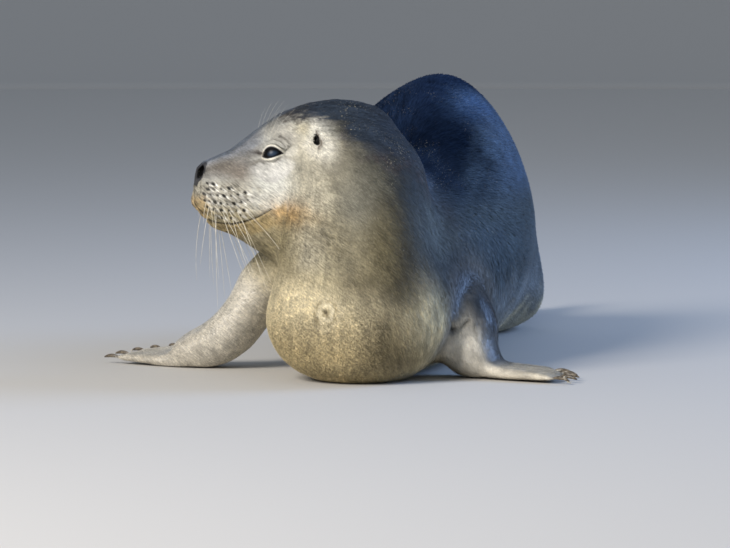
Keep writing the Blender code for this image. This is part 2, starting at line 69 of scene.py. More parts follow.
FLESH = ("head", "neck", "ribs", "loins", "hips", "tail")
FLIPPERS = ("foreflipper_left", "foreflipper_right", "hindflipper_left", "hindflipper_right")
COAT_DEPTH = 0.0014
HIDE_CELL = 0.0045
SEAM_LAP = 0.0004  # how far the parts grow into each other before they are fused
LID_FLESH = 0.0026  # flesh over the eyeballs, for the lids to be shaped from
TRUNK_FACES_KEPT = 0.6
EYES_BACK = 0.0947  # from the tip of the nose to the eyeballs' middles
EYES_RISE = 0.0220
ARMPIT_FOLD = (
    (0.154, -0.460, 0.074),
    (0.158, -0.448, 0.061),
    (0.164, -0.444, 0.063),
    (0.172, -0.438, 0.070),
)
RING = (0.0285, -0.5663, 0.0870)  # a ring of parted hair on the chest
MOUTH_LINE = (  # back from the nose, height from the nose
    (-0.0300, -0.0455),
    (0.0040, -0.0480),
    (0.0125, -0.0548),
    (0.0270, -0.0597),
    (0.0435, -0.0609),
    (0.0590, -0.0573),
    (0.0740, -0.0512),
    (0.0880, -0.0420),
)
FAR_OFF = 9.0  # a distance that stands for nowhere near


def middle(node):
    """The middle of a node's box."""
    low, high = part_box(node)
    return (low + high) / 2


eye_centres = {"left": middle("eye_left"), "right": middle("eye_right")}
eye_radius = (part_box("eye_left")[1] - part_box("eye_left")[0]).x / 2
between_eyes = (eye_centres["left"] + eye_centres["right"]) / 2
UP = Vector((0.0, 0.0, 1.0))
LEFT = (eye_centres["left"] - eye_centres["right"]).normalized()
FORWARD = LEFT.cross(UP)
nose = between_eyes + FORWARD * EYES_BACK - UP * EYES_RISE


def in_head(back, out, rise):
    """A place on the head, from the tip of the nose: back, out to its left, and up."""
    return nose - FORWARD * back + LEFT * out + UP * rise


def on_head(places):
    """How far places lie back, out to the left and up from the tip of the nose."""
    offset = places - np.array(nose)
    return -offset @ np.array(FORWARD), offset @ np.array(LEFT), offset[:, 2]


def far_from(places, centre):
    """Each place's distance from a centre."""
    return np.linalg.norm(places - np.array(centre), axis=1)


def ramp(values, low, high):
    """0 below low, 1 above high, and a smooth rise between them."""
    t = np.clip((values - low) / (high - low), 0.0, 1.0)
    return t * t * (3 - 2 * t)


def places_of(mesh):
    places = np.empty(len(mesh.vertices) * 3)
    mesh.vertices.foreach_get("co", places)
    return places.reshape(-1, 3)


def normals_of(mesh):
    normals = np.empty(len(mesh.vertices) * 3)
    mesh.vertices.foreach_get("normal", normals)
    return normals.reshape(-1, 3)


def edges_of(mesh):
    edges = np.empty(len(mesh.edges) * 2, int)
    mesh.edges.foreach_get("vertices", edges)
    return edges.reshape(-1, 2)


def put_places(mesh, places):
    mesh.vertices.foreach_set("co", places.ravel())
    mesh.update()


def spread(values, edges, rounds, share):
    """Moves each vertex's values a share of the way to its neighbours' mean, at each round."""
    count = len(values)
    starts = np.concatenate((edges[:, 0], edges[:, 1]))
    ends = np.concatenate((edges[:, 1], edges[:, 0]))
    number = np.maximum(np.bincount(starts, minlength=count), 1)
    share = np.broadcast_to(share, count)
    for _ in range(rounds):
        for axis in range(values.shape[1]):
            mean = np.bincount(starts, values[ends, axis], count) / number
            values[:, axis] += share * (mean - values[:, axis])
    return values


def as_mesh(obj):
    """The object's mesh with its modifiers applied, for an object of its own."""
    graph = bpy.context.evaluated_depsgraph_get()
    graph.update()
    return bpy.data.meshes.new_from_object(obj.evaluated_get(graph), depsgraph=graph)


def mesh_of(bm, name):
    """A mesh made from a bmesh, which is freed."""
    mesh = bpy.data.meshes.new(name)
    bm.to_mesh(mesh)
    bm.free()
    return mesh


def merged(nodes):
    """The triangles of several nodes, joined at the corners they share."""
    bm = bmesh.new()
    for node in nodes:
        bm.from_mesh(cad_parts[node].data)
    bmesh.ops.remove_doubles(bm, verts=bm.verts, dist=0.00001)
    return bm


def smooth(mesh):
    for polygon in mesh.polygons:
        polygon.use_smooth = True


def place_piece(name, mesh):
    obj = bpy.data.objects.new(name, mesh)
    bpy.context.scene.collection.objects.link(obj)
    return obj


def apply_modifiers(obj):
    mesh = as_mesh(obj)
    obj.modifiers.clear()
    obj.data = mesh
    return mesh


claw_nodes = sorted(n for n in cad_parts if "claw" in n)
bm = merged(FLESH + FLIPPERS)
bm.normal_update()
for vert in bm.verts:
    vert.co += vert.normal * SEAM_LAP
for node in claw_nodes:
    bm.from_mesh(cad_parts[node].data)
bmesh.ops.remove_doubles(bm, verts=bm.verts, dist=0.00001)
for centre in eye_centres.values():
    ball = Matrix.Translation(centre)
    bmesh.ops.create_icosphere(bm, subdivisions=4, radius=eye_radius + LID_FLESH, matrix=ball)
hide = place_piece("hide", mesh_of(bm, "hide"))
fuse = hide.modifiers.new("Fuse", "REMESH")
fuse.mode = "VOXEL"
fuse.voxel_size = HIDE_CELL
apply_modifiers(hide)


def flesh_tree(nodes):
    """Finds the nearest place on some of the solids."""
    bm = bmesh.new()
    for node in nodes:
        bm.from_mesh(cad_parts[node].data)
    tree = BVHTree.FromBMesh(bm)
    bm.free()
    return tree


def share_near(places, tree, reach):
    """1 on a part of the body, falling to 0 at reach from it."""
    gap = np.array([tree.find_nearest(place)[3] for place in places])
    return 1 - ramp(gap, 0.004, reach)


limb_tree = flesh_tree(FLIPPERS + ("tail",))


def limb_share(places):
    """1 on the flippers and tail, 0 on the trunk, for what must stay thin."""
    return share_near(places, limb_tree, 0.030)


def evened(places, edges):
    """Facets and seams taken out, hardly at all where the flesh is thin or modelled."""
    places = places.copy()
    back, _, _ = on_head(places)
    body = 1 - limb_share(places)
    spread(places, edges, 44, 0.5 * ramp(back, 0.13, 0.26) * body)
    spread(places, edges, 10, 0.5 * ramp(back, 0.06, 0.14) * body)
    return spread(places, edges, 4, 0.5)


def even_out(mesh):
    """Evens the flesh out, then gives back the size that evening out takes from it."""
    rough = places_of(mesh)
    edges = edges_of(mesh)
    smooth = evened(rough, edges)
    lost = rough - smooth
    spread(lost, edges, 40, 0.5)
    put_places(mesh, smooth + lost)


even_out(hide.data)
places = places_of(hide.data)
back, _, _ = on_head(places)
thin = ramp(back, 0.20, 0.32) * (1 - limb_share(places))
group = hide.vertex_groups.new(name="trunk")
for step in range(5):
    chosen = np.nonzero(np.round(thin * 4) == step)[0]
    group.add(chosen.tolist(), step / 4, "REPLACE")
thinning = hide.modifiers.new("Thin out", "DECIMATE")
thinning.ratio = TRUNK_FACES_KEPT
thinning.vertex_group = "trunk"
apply_modifiers(hide)
hide.vertex_groups.clear()
places = places_of(hide.data)
spread(places, edges_of(hide.data), 4, 0.4 * ramp(on_head(places)[0], 0.2, 0.32))
put_places(hide.data, places)


def off_path(points, path):
    """Distance from a path, and the nearest place and the heading of the path there."""
    gap = np.full(len(points), FAR_OFF)
    nearest = np.zeros_like(points)
    heading = np.zeros_like(points)
    for start, end in zip(path, path[1:]):
        way = np.subtract(end, start)
        share = np.clip((points - start) @ way / (way @ way), 0.0, 1.0)
        place = start + share[:, None] * way
        far = np.linalg.norm(points - place, axis=1)
        closer = (far < gap)[:, None]
        nearest = np.where(closer, place, nearest)
        heading = np.where(closer, way / np.linalg.norm(way), heading)
        gap = np.minimum(gap, far)
    return gap, nearest, heading


def mouth_gap(back, rise):
    """Distance from the mouth's line, height above it, and how far back along it."""
    points = np.stack((back, rise), axis=1)
    gap, nearest, heading = off_path(points, MOUTH_LINE)
    offset = points - nearest
    return gap, offset[:, 1] * heading[:, 0] - offset[:, 0] * heading[:, 1], nearest[:, 0]


def near_feature(places, reach):
    """True within reach of an eye, nostril or ear, the mouth, the armpit's fold or the ring."""
    back, out, rise = on_head(places)
    side = np.abs(out)
    near = np.zeros(len(places), bool)
    for centre in eye_centres.values():
        near |= far_from(places, centre) < 0.016 + reach
    near |= (back < 0.016 + reach * 0.6) & (rise > -0.016 - reach) & (rise < 0.016)
    near |= (np.hypot(back - 0.142, rise - 0.043) < 0.008 + reach * 0.7) & (side > 0.03)
    near |= mouth_gap(back, rise)[0] < 0.0015 + reach * 0.4
    near |= off_path(places, ARMPIT_FOLD)[0] < 0.009 + reach * 0.5
    near |= far_from(places, RING) < 0.013 + reach * 0.5
    return near


def refine(mesh, chosen):
    """Splits the faces round the chosen vertices in four."""
    bm = bmesh.new()
    bm.from_mesh(mesh)
    bm.verts.ensure_lookup_table()
    edges = [e for e in bm.edges if chosen[e.verts[0].index] and chosen[e.verts[1].index]]
    bmesh.ops.subdivide_edges(bm, edges=edges, cuts=1, use_grid_fill=True)
    bm.to_mesh(mesh)
    bm.free()
    mesh.update()


def refine_head(mesh):
    """Finer faces on the head, finer again on the muzzle, and finest at eyes, nose and mouth."""
    back, _, rise = on_head(places_of(mesh))
    refine(mesh, (back < 0.160) & (rise > -0.090))
    places = places_of(mesh)
    spread(places, edges_of(mesh), 3, 0.45 * (on_head(places)[0] < 0.19))
    put_places(mesh, places)
    back, _, rise = on_head(places)
    refine(mesh, (back < 0.068) & (rise > -0.067) | near_feature(places, 0.012))
    places = places_of(mesh)
    spread(places, edges_of(mesh), 2, 0.4 * (on_head(places)[0] < 0.165))
    put_places(mesh, places)
    refine(mesh, near_feature(places, 0.0))


def fit_to_flesh(mesh):
    """Sets the hide a coat's depth inside the flesh it was fused from, without its facets."""
    flesh = flesh_tree(FLESH + FLIPPERS)
    edges = edges_of(mesh)
    for _ in range(2):
        places = places_of(mesh)
        normals = normals_of(mesh)
        nearest = np.array([flesh.find_nearest(place)[0] for place in places])
        gap = ((nearest - places) * normals).sum(axis=1) - COAT_DEPTH
        gap = np.clip(gap, -0.006, 0.006)[:, None]
        put_places(mesh, places + normals * spread(gap, edges, 24, 0.5))


refine_head(hide.data)
fit_to_flesh(hide.data)

# ---- Hide: the face --------------------------------------------------------------------------
# Lids close on the eyeballs in an almond, with a rim, a crease and wrinkles. The nostrils are
# slits, the ears are holes with no flap, and the upper lips hang over the mouth's line.

LID_HALF_LENGTH = 0.0125
LID_LIFT = 0.0092
LID_DROP = 0.0036
LID_TILT = -0.10  # the front corner is the lower one
LID_RIM = 0.0012
# Painted shade: dark lines laid along the creases round an eye.
LID_CREASE_SHADES = (  # creases round an eye: forward and up from its middle, half their width, strength
    ((0.0138, 0.0245), (0.0009, 0.0252), 0.0010, 0.50),
    ((0.0009, 0.0252), (-0.0068, 0.0224), 0.0013, 0.75),
    ((-0.0068, 0.0224), (-0.0140, 0.0188), 0.0012, 0.65),
    ((-0.0140, 0.0188), (-0.0195, 0.0130), 0.0010, 0.45),
    ((0.0110, 0.0172), (0.0000, 0.0192), 0.0009, 0.55),
    ((0.0000, 0.0192), (-0.0090, 0.0158), 0.0010, 0.60),
    ((-0.0090, 0.0158), (-0.0150, 0.0095), 0.0010, 0.60),
    ((-0.0178, 0.0110), (-0.0258, 0.0062), 0.0010, 0.50),
    ((0.0158, -0.0068), (0.0112, -0.0098), 0.0012, 0.65),
    ((0.0112, -0.0098), (0.0030, -0.0120), 0.0009, 0.45),
    ((-0.0040, -0.0092), (-0.0100, -0.0060), 0.0011, 0.55),
)


def eye_frame(side):
    """The eyeball's middle, the way it looks, and the ways along and up its lids."""
    centre = np.array(eye_centres[side])
    turn = 1 if side == "left" else -1
    out = (LEFT * turn + FORWARD * 0.42 + UP * 0.12).normalized()
    along = (FORWARD - out * FORWARD.dot(out)).normalized()
    rise = out.cross(along)
    if rise.z < 0:
        rise = -rise
    return centre, np.array(out), np.array(along), np.array(rise)


def lid_field(places, side):
    """Offset and distance from the eyeball's middle, the way there, the place across the lids,
    how far inside them it is, and whether the upper lid is the nearer."""
    centre, out, along, rise = eye_frame(side)
    offset = places - centre
    far = np.maximum(np.linalg.norm(offset, axis=1), 0.000001)
    aim = offset / far[:, None]
    radius = eye_radius + LID_RIM
    facing = aim @ out
    x = radius * (aim @ along)
    y = radius * (aim @ rise) - LID_TILT * x
    t = np.clip(x / LID_HALF_LENGTH, -1.0, 1.0)
    top = LID_LIFT * (1 - t * t) ** 0.78 * (1 + 0.30 * t)
    bottom = -LID_DROP * (1 - t * t) ** 0.85 * (1 + 0.30 * t)
    inside = np.minimum(top - y, y - bottom)
    beyond = np.abs(x) - LID_HALF_LENGTH
    inside = np.where(beyond > 0, -np.hypot(beyond, np.maximum(-inside, 0.0)), inside)
    inside = np.where(facing > 0.05, inside, -0.05)
    return offset, far, aim, x, y, inside, top - y < y - bottom


def bell(values, width):
    """1 at zero, falling away to both sides."""
    return np.exp(-((values / width) ** 2))


def shape_lids(mesh):
    """Draws the hide in over the eyeballs, with a rim, a crease and wrinkles."""
    for side in ("left", "right"):
        places = places_of(mesh)
        _, far, _, x, _, inside, upper = lid_field(places, side)
        centre, out, _, rise = eye_frame(side)
        close = (inside > -0.0005) & (inside < 0.0004) & (far < 0.024)
        shift = np.where(upper, inside, -inside) * close * (np.abs(x) < LID_HALF_LENGTH)
        places += shift[:, None] * rise
        _, far, aim, x, y, inside, _ = lid_field(places, side)
        outside = np.maximum(-inside, 0.0)
        over = ramp(y, 0.0, 0.003)
        rim = eye_radius + LID_RIM + 0.0012 * ramp(outside, 0.0, 0.0014)
        rim = rim - 0.0003 * ramp(outside, 0.002, 0.004)
        blend = ramp(outside, 0.0016, 0.0085) * (far > eye_radius)
        lid = rim * (1 - blend) + far * blend
        lid -= 0.0011 * over * bell(outside - 0.0042, 0.0009) * ramp(0.013 - np.abs(x), 0.0, 0.006)
        under = (1 - over) * ramp(0.012 - np.abs(x), 0.0, 0.006)
        lid -= 0.0006 * under * bell(outside - 0.0045, 0.0010)
        for reach, depth in ((0.0092, 0.0011), (0.0128, 0.0012), (0.0165, 0.0008)):
            arc = outside - reach - 0.10 * x
            lid -= depth * over * bell(arc, 0.0012) * bell(x + 0.003, 0.0095)
        sunk = eye_radius - 0.0022 * ramp(inside, 0.0003, 0.0012)
        held = ramp(inside, 0, 0.0006)
        lid = np.where(inside > 0, (eye_radius + LID_RIM) * (1 - held) + sunk * held, lid)
        reach = (far < 0.034) & (aim @ out > 0.05)
        lid = np.where(reach, lid, far)
        put_places(mesh, centre + aim * lid[:, None])


shape_lids(hide.data)

NOSTRIL = (0.0060, 0.0092, 0.0016)  # back, out and up
NOSTRIL_RADII = (0.0058, 0.0054, 0.0100)
NOSTRIL_LEAN = math.radians(27)
NOSTRIL_DEPTH = 0.0095
NOSE_FILL = 0.0024  # the tip's roundness
EAR = (0.1412, 0.0425)
EAR_RADII = (0.0036, 0.0068)
WHISKER_ROWS = (  # from the top: first and last place back, how many, their heights, and the sag
    (0.0150, 0.0213, 2, -0.0121, -0.0122, 0.0),
    (0.0150, 0.0400, 4, -0.0186, -0.0166, 0.0010),
    (0.0110, 0.0590, 7, -0.0240, -0.0228, 0.0026),
    (0.0110, 0.0612, 8, -0.0311, -0.0314, 0.0042),
    (0.0150, 0.0570, 6, -0.0390, -0.0430, 0.0030),
    (0.0238, 0.0540, 4, -0.0495, -0.0500, 0.0032),
)


def nostril_field(back, out, rise):
    """Below 1 inside the nostril, and 1 on its rim."""
    b = back - NOSTRIL[0]
    r = rise - NOSTRIL[2]
    across = b * math.cos(NOSTRIL_LEAN) - r * math.sin(NOSTRIL_LEAN)
    length = b * math.sin(NOSTRIL_LEAN) + r * math.cos(NOSTRIL_LEAN)
    wide = (np.abs(out) - NOSTRIL[1] + 0.18 * (r < 0) * r) / NOSTRIL_RADII[1]
    return np.sqrt((across / NOSTRIL_RADII[0]) ** 2 + wide**2 + (length / NOSTRIL_RADII[2]) ** 2)


def ear_field(back, rise):
    """Below 1 inside the ear's opening, and how far behind its middle."""
    b = back - EAR[0]
    r = rise - EAR[1]
    narrow = EAR_RADII[0] * (1 - 0.35 * np.clip(r / EAR_RADII[1], -1, 1))
    return np.hypot(b / narrow, r / EAR_RADII[1]), b


def follicles():
    """Where the whiskers root, in rows that sag between their ends, as back and up."""
    found = []
    for row, (start, end, count, high, low, sag) in enumerate(WHISKER_ROWS):
        for k in range(count):
            share = (k / (count - 1)) ** 1.12
            b = start + (end - start) * share + 0.0006 * math.sin(7 * k + 3 * row)
            r = high + (low - high) * share - sag * math.sin(math.pi * share)
            found.append((row, k, b, r + 0.0005 * math.cos(5 * k + row)))
    return found


def shape_muzzle(mesh):
    """Presses in mouth, nostrils, ears, pores, armpit and ring, and says how far off each is."""
    places = places_of(mesh)
    back, out, rise = on_head(places)
    fill = ramp(0.022 - back, 0.0, 0.018) * ramp(rise, -0.052, -0.036) * ramp(0.014 - rise, 0.0, 0.010)
    places += np.array(FORWARD)[None, :] * (NOSE_FILL * fill)[:, None]
    put_places(mesh, places)
    normals = normals_of(mesh)
    back, out, rise = on_head(places)
    side = np.sign(out)
    front = back < 0.11
    lift = np.zeros(len(places))
    gap, above, along = mouth_gap(back, rise)
    open_share = ramp(along, -0.004, 0.012) * ramp(0.097 - along, 0.0, 0.010) * (back < 0.10)
    lift -= 0.0021 * bell(gap, 0.0009) * open_share
    lift += 0.0010 * bell(above - 0.0030, 0.0022) * open_share * ramp(0.07 - along, 0.0, 0.03)
    lift += 0.0005 * bell(above + 0.0034, 0.0020) * open_share
    groove = bell(out, 0.0011) * ramp(rise, -0.046, -0.040) * ramp(-rise, 0.006, 0.010) * (back < 0.02)
    lift -= 0.0009 * groove
    pores = np.zeros(len(places))
    glints = np.zeros(len(places))
    for row, k, b, r in follicles():
        down = 0.77 * (back - b) - 0.64 * (rise - r)
        across = 0.64 * (back - b) + 0.77 * (rise - r)
        here = front * (np.abs(out) > 0.004)
        off = np.hypot(down / 1.5, across)
        lift += here * (0.0007 * bell(off, 0.0026) - 0.0010 * bell(off, 0.0011))
        size = 0.0020 + 0.0005 * math.sin(2.1 * k + row)
        pores = np.maximum(pores, here * ramp(size - off, 0.0, 0.0009))
        # where a painted highlight goes, a pale dash behind each pore
        glint = np.hypot((down - 0.0036) / 2.2, across - 0.0014)
        glints = np.maximum(glints, here * bell(glint, 0.0015))
    fold, nearest, _ = off_path(places, ARMPIT_FOLD)
    notch = far_from(places, ARMPIT_FOLD[1])
    lift -= 0.0022 * bell(fold, 0.0022) + 0.0050 * bell(notch, 0.0065)
    lift += 0.0012 * bell(fold - 0.0065, 0.0045) * ramp(nearest[:, 2] - places[:, 2], -0.001, 0.004)
    swirl = far_from(places, RING)
    lift += 0.0013 * bell(swirl - 0.0080, 0.0034) - 0.0030 * bell(swirl, 0.0026)
    nostril = np.where(back < 0.03, nostril_field(back, out, rise), FAR_OFF)
    lift += 0.0007 * bell(nostril - 1.30, 0.25)
    ear, ear_back = ear_field(back, rise)
    ear = np.where((np.abs(out) > 0.03) & (back < 0.17), ear, FAR_OFF)
    lift += 0.0012 * bell(ear - 1.5, 0.45) * ramp(ear_back, -0.001, 0.003)
    lift -= 0.0050 * ramp(1.1 - ear, 0.0, 0.6)
    places += normals * lift[:, None]
    inward = -np.array(FORWARD)[None, :] * 0.75 - side[:, None] * np.array(LEFT)[None, :] * 0.45
    places += inward * (NOSTRIL_DEPTH * ramp(1.05 - nostril, 0.0, 0.55))[:, None]
    put_places(mesh, places)
    mouth = {"gap": np.where(front, gap, FAR_OFF), "above": above, "along": along, "groove": groove}
    holes = {"nostril": nostril, "ear": ear, "ear_back": ear_back, "pores": pores, "glints": glints}
    return mouth | holes | {"fold": fold, "notch": notch}


face = shape_muzzle(hide.data)
smooth(hide.data)
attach(hide, "root")
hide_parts(*FLESH, *FLIPPERS)

# ---- Hide: the lie of the hair ---------------------------------------------------------------
# Hair lies back from the nose, down the throat, along the trunk to the tail and out along each
# flipper. Guide lines through the parts of the body say which way.


def steps_along(points, step=0.02):
    """Places along a line of points, and the line's direction at each."""
    found, ways = [], []
    for start, end in zip(points, points[1:]):
        way = end - start
        count = max(2, int(way.length / step))
        for k in range(count):
            found.append(start + way * ((k + 0.5) / count))
            ways.append(way.normalized())
    return found, ways


def toe_end(flipper):
    """The middle of a flipper's claws."""
    return sum((middle(n) for n in claw_nodes if n.startswith(flipper)), Vector()) / 5


def toe_line(flipper):
    """From a flipper's root through its middle to its claws."""
    toes = toe_end(flipper)
    places = places_of(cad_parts[flipper].data)
    root = places[np.argmax(far_from(places, toes))]
    return [Vector(root), Vector(places.mean(axis=0)), toes]


chest = middle("ribs") + Vector((0.0, -0.10, -0.09))
guides = [
    [nose, in_head(0.09, 0.0, -0.005), in_head(0.19, 0.03, -0.08), chest, middle("loins") - UP * 0.03],
    [in_head(0.16, 0.0, 0.02), middle("neck") + Vector((0.01, 0.06, 0.06)), middle("ribs") + UP * 0.05],
    [middle("ribs") + UP * 0.05, middle("loins"), middle("hips"), middle("tail")],
    *[toe_line(flipper) for flipper in FLIPPERS],
]
guide_places, guide_ways = [], []
for line in guides:
    found, ways = steps_along(line)
    guide_places += found
    guide_ways += ways
guide_places = np.array(guide_places)
guide_ways = np.array(guide_ways)


def lie_of_hair(places, normals):
    """The way the hair points at each place, flat along the hide."""
    lie = np.empty_like(places)
    for start in range(0, len(places), 8000):
        piece = places[start : start + 8000]
        gap = ((piece[:, None, :] - guide_places[None, :, :]) ** 2).sum(axis=2)
        weight = 1 / (gap + 0.0009) ** 2.5
        lie[start : start + 8000] = weight @ guide_ways / weight.sum(axis=1)[:, None]
    from_nose = places - np.array(in_head(0.03, 0.0, -0.012))
    from_nose /= np.linalg.norm(from_nose, axis=1)[:, None]
    near_nose = ramp(0.07 - on_head(places)[0], 0.0, 0.05)[:, None]
    lie = lie * (1 - near_nose) + from_nose * near_nose
    lie[:, 2] -= 0.25 * ramp(on_head(places)[0], 0.05, 0.12)
    lie -= normals * (lie * normals).sum(axis=1)[:, None]
    return lie / np.maximum(np.linalg.norm(lie, axis=1), 0.000001)[:, None]


places = places_of(hide.data)
normals = normals_of(hide.data)
edges = edges_of(hide.data)
back, out, rise = on_head(places)
lie = spread(lie_of_hair(places, normals), edges, 6, 0.5)


def mark(mesh, name, values, kind="FLOAT", field="value"):
    """Stores one value, or one vector, at each vertex."""
    attribute = mesh.attributes.new(name, kind, "POINT")
    attribute.data.foreach_set(field, values.astype(np.float32).ravel())


mark(hide.data, "lie", lie, "FLOAT_VECTOR", "vector")


def combed(values, rounds):
    """Drags values out along the lie of the hair, as locks of wet hair run."""
    way = places[edges[:, 1]] - places[edges[:, 0]]
    way /= np.maximum(np.linalg.norm(way, axis=1), 0.000001)[:, None]
    weight = ((way * lie[edges[:, 0]]).sum(axis=1) ** 2) ** 4 + 0.004
    starts = np.concatenate((edges[:, 0], edges[:, 1]))
    ends = np.concatenate((edges[:, 1], edges[:, 0]))
    weight = np.concatenate((weight, weight))
    total = np.bincount(starts, weight, len(values))
    for _ in range(rounds):
        values = 0.3 * values + 0.7 * np.bincount(starts, weight * values[ends], len(values)) / total
    return values / values.std()


chances = np.random.default_rng(5)
grit = chances.normal(size=(len(places), 1))
grit = spread(grit, edges, 2, 0.5)[:, 0]
grit /= grit.std()
locks = np.clip(combed(chances.normal(size=len(places)), 22), -2.2, 2.2)

# ---- Hide: colour ----------------------------------------------------------------------------
# Wet hide under short hair: cream and buff below, slate above, with a dark cap on the crown. The
# tones are laid on as soft washes that follow the lie of the hair, and the coat takes them too.
# Some washes are painted light and shade: a shadow below the head, shade in creases, folds and
# holes and on the sides that turn from the sun, light on the chest and the left flipper, highlights
# on the muzzle and below the eyes, and the sky's blue reflection on the flippers, the flank turned
# from the sun and the hump.

THROAT_LINES = (  # back and up on the head where each starts and ends, and half its width
    ((0.100, -0.047), (0.182, -0.098), 0.0016),
    ((0.094, -0.050), (0.170, -0.101), 0.0014),
    ((0.104, -0.053), (0.196, -0.080), 0.0014),
    ((0.112, -0.043), (0.186, -0.066), 0.0012),
)
THROAT_SAG = 0.006
CAP_EDGE_BACK = (0.095, 0.1175, 0.130, 0.1423, 0.1572, 0.1694, 0.191, 0.2164, 0.2417, 0.30)
CAP_EDGE_RISE = (0.0690, 0.0613, 0.0649, 0.0699, 0.0662, 0.0564, 0.0390, 0.0238, 0.0137, -0.04)
BLOTCH = 0.016  # metres across, for the cloudy mottling of a wet coat
FLECK = 0.0022  # sand and dry hair tips caught in the dark parts
CURL = 0.0026  # across one sandy curl on the chest
LOCK = Vector((0.0100, 0.0013, 0.0060))  # along, across and through one lock of wet face hair
LOCK_SLOPE = math.radians(38)


def linear(code):
    """An sRGB hex value as linear red, green, blue and 1."""
    parts = [int(code[k : k + 2], 16) / 255 for k in (1, 3, 5)]
    return tuple(p / 12.92 if p <= 0.04045 else ((p + 0.055) / 1.055) ** 2.4 for p in parts) + (1.0,)


def add(tree, kind, links=None, out=0, **settings):
    """Adds a node, a shader's unless its kind says Node, and gives one output or the node."""
    node = tree.nodes.new(kind if "Node" in kind else "ShaderNode" + kind)
    for name, value in settings.items():
        setattr(node, name, value)
    for name, value in (links or {}).items():
        socket = node.inputs[name]
        if isinstance(value, bpy.types.NodeSocket):
            tree.links.new(value, socket)
        else:
            socket.default_value = value
    return node if out is None else node.outputs[out]


side = np.abs(out)
x, y, z = places.T
tone = np.tile(np.array(linear("#d6caa8")), (len(places), 1))
damp = np.full(len(places), 0.25)
ragged = np.array([noise.fractal(Vector(place) * 24, 0.9, 2.1, 4) for place in places])
ragged /= 2 * ragged.std()  # wanders between about -1 and 1, to break the washes' edges


def paint(code, mask, strength=1.0):
    """Lays one tone over the hide where the mask says."""
    share = (np.clip(mask, 0.0, 1.0) * strength)[:, None]
    tone[:] = tone * (1 - share) + np.array(linear(code))[None, :] * share


def spot(b, r, wide, high):
    """A soft round wash on both sides of the head."""
    return np.exp(-(((back - b) / wide) ** 2) - ((rise - r) / high) ** 2)


def blob(centre, radii):
    """A soft round wash about a place."""
    return np.exp(-(((places - np.array(centre)) / np.array(radii)) ** 2).sum(axis=1))


across = np.abs(x - middle("ribs").x)
left_side = ramp(x - middle("ribs").x, -0.02, 0.02)
trunk = ramp(y, -0.44, -0.33) * ramp(back + 0.010 * ragged, 0.175, 0.235)
trunk = np.maximum(trunk, ramp(y + 0.02 * ragged, -0.35, -0.25))
flank = trunk * ramp(z + 0.022 * ragged, 0.012, 0.085)
is_head = ramp(0.205 - back, 0.0, 0.060) * ramp(rise, -0.125, -0.095)
is_limb = limb_share(places)

# throat, neck and chest
paint("#8b8167", ramp(rise, -0.16, -0.05) * (1 - is_head))
paint("#b4a47d", ramp(-rise, 0.13, 0.21) * ramp(-normals[:, 1], -0.2, 0.5) * (y < -0.3))
neck_side = across * (0.36 + 0.94 * left_side) + 0.62 * z + 0.15 * (y - cad_low.y - 0.07)
neck_side = neck_side + 0.004 * ragged + 0.002 * grit
above_chest = (1 - trunk) * ramp(z + 0.006 * ragged, 0.070, 0.115)
paint("#66614e", ramp(neck_side, 0.118, 0.180) * above_chest)
paint("#45443a", ramp(neck_side, 0.168, 0.210) * above_chest, 0.85)
paint("#333a40", ramp(neck_side, 0.200, 0.240) * above_chest, 0.85)
# Painted shade: a dark band down the neck and chest where the head's shadow falls and the neck turns
# away, and darker patches down the fold beside the chest's bulge.
shadow_band = ramp(z, 0.080, 0.13) * ramp(0.25 - z, 0.0, 0.05) * ramp(-0.48 - y, 0.0, 0.03)
paint("#5c543f", bell(x - 0.069, 0.036) * shadow_band, 0.8)
paint("#4f4733", blob((0.094, -0.557, 0.060), (0.017, 0.05, 0.046)), 0.62)
paint("#564c35", blob((0.115, -0.545, 0.028), (0.030, 0.05, 0.028)), 0.5)
# Painted light: the pale chest is lightened further where the sun falls on the front of its bulge.
paint("#f2e6c3", blob((-0.012, -0.550, 0.100), (0.024, 0.05, 0.018)), 0.75)
paint("#e0d3ae", blob((0.012, -0.540, 0.145), (0.030, 0.05, 0.024)), 0.5)
# Painted shade in the crease between the neck and the shoulder.
paint("#39352a", blob((0.108, -0.535, 0.125), (0.020, 0.035, 0.045)), 0.7)
# Painted light: a buff patch on the right of the chest, lighter than its own tone because that side
# turns from the sun.
paint("#e6dab4", blob((0.140, -0.505, 0.086), (0.024, 0.035, 0.034)) * 1.2, 0.85)

# cheeks and jaw
paint("#dbdbd3", ramp(0.172 - back, 0.0, 0.055) * ramp(rise, -0.075, -0.035))
paint("#9d9272", ramp(0.175 - back, 0.0, 0.05) * ramp(-rise, 0.035, 0.062) * is_head, 0.9)
paint("#bfbaa3", spot(0.150, -0.020, 0.030, 0.045), 0.8)
torn_back = back + 0.003 * ragged
paint("#bcb5a0", ramp(torn_back, 0.098, 0.124) * ramp(0.054 - rise, 0.0, 0.016) * is_head, 0.8)
paint("#87806a", ramp(torn_back, 0.141, 0.158) * ramp(0.058 - rise, 0.0, 0.020) * is_head, 0.65)
under_ear = ramp(back, 0.118, 0.150) * ramp(0.24 - back, 0.0, 0.04)
paint("#857b5b", under_ear * ramp(-rise, 0.02, 0.06) * ramp(rise, -0.15, -0.10), 0.5)
paint("#68665a", spot(0.194, 0.006, 0.030, 0.040), 0.85)
paint("#7f7d70", spot(0.176, -0.030, 0.024, 0.034), 0.8)

# slate back, flanks and nape
facing_out = ramp(normals[:, 0] + 0.1 * ragged, 0.62, 0.95)
high_up = ramp(z + 0.03 * ragged + 0.004 * grit, 0.12, 0.23)
paint("#35445a", flank)
paint("#141f31", trunk * high_up * ramp(y + 0.02 * ragged, -0.37, -0.27))
paint("#22304a", trunk * ramp(normals[:, 2], 0.75, 0.97), 0.6)
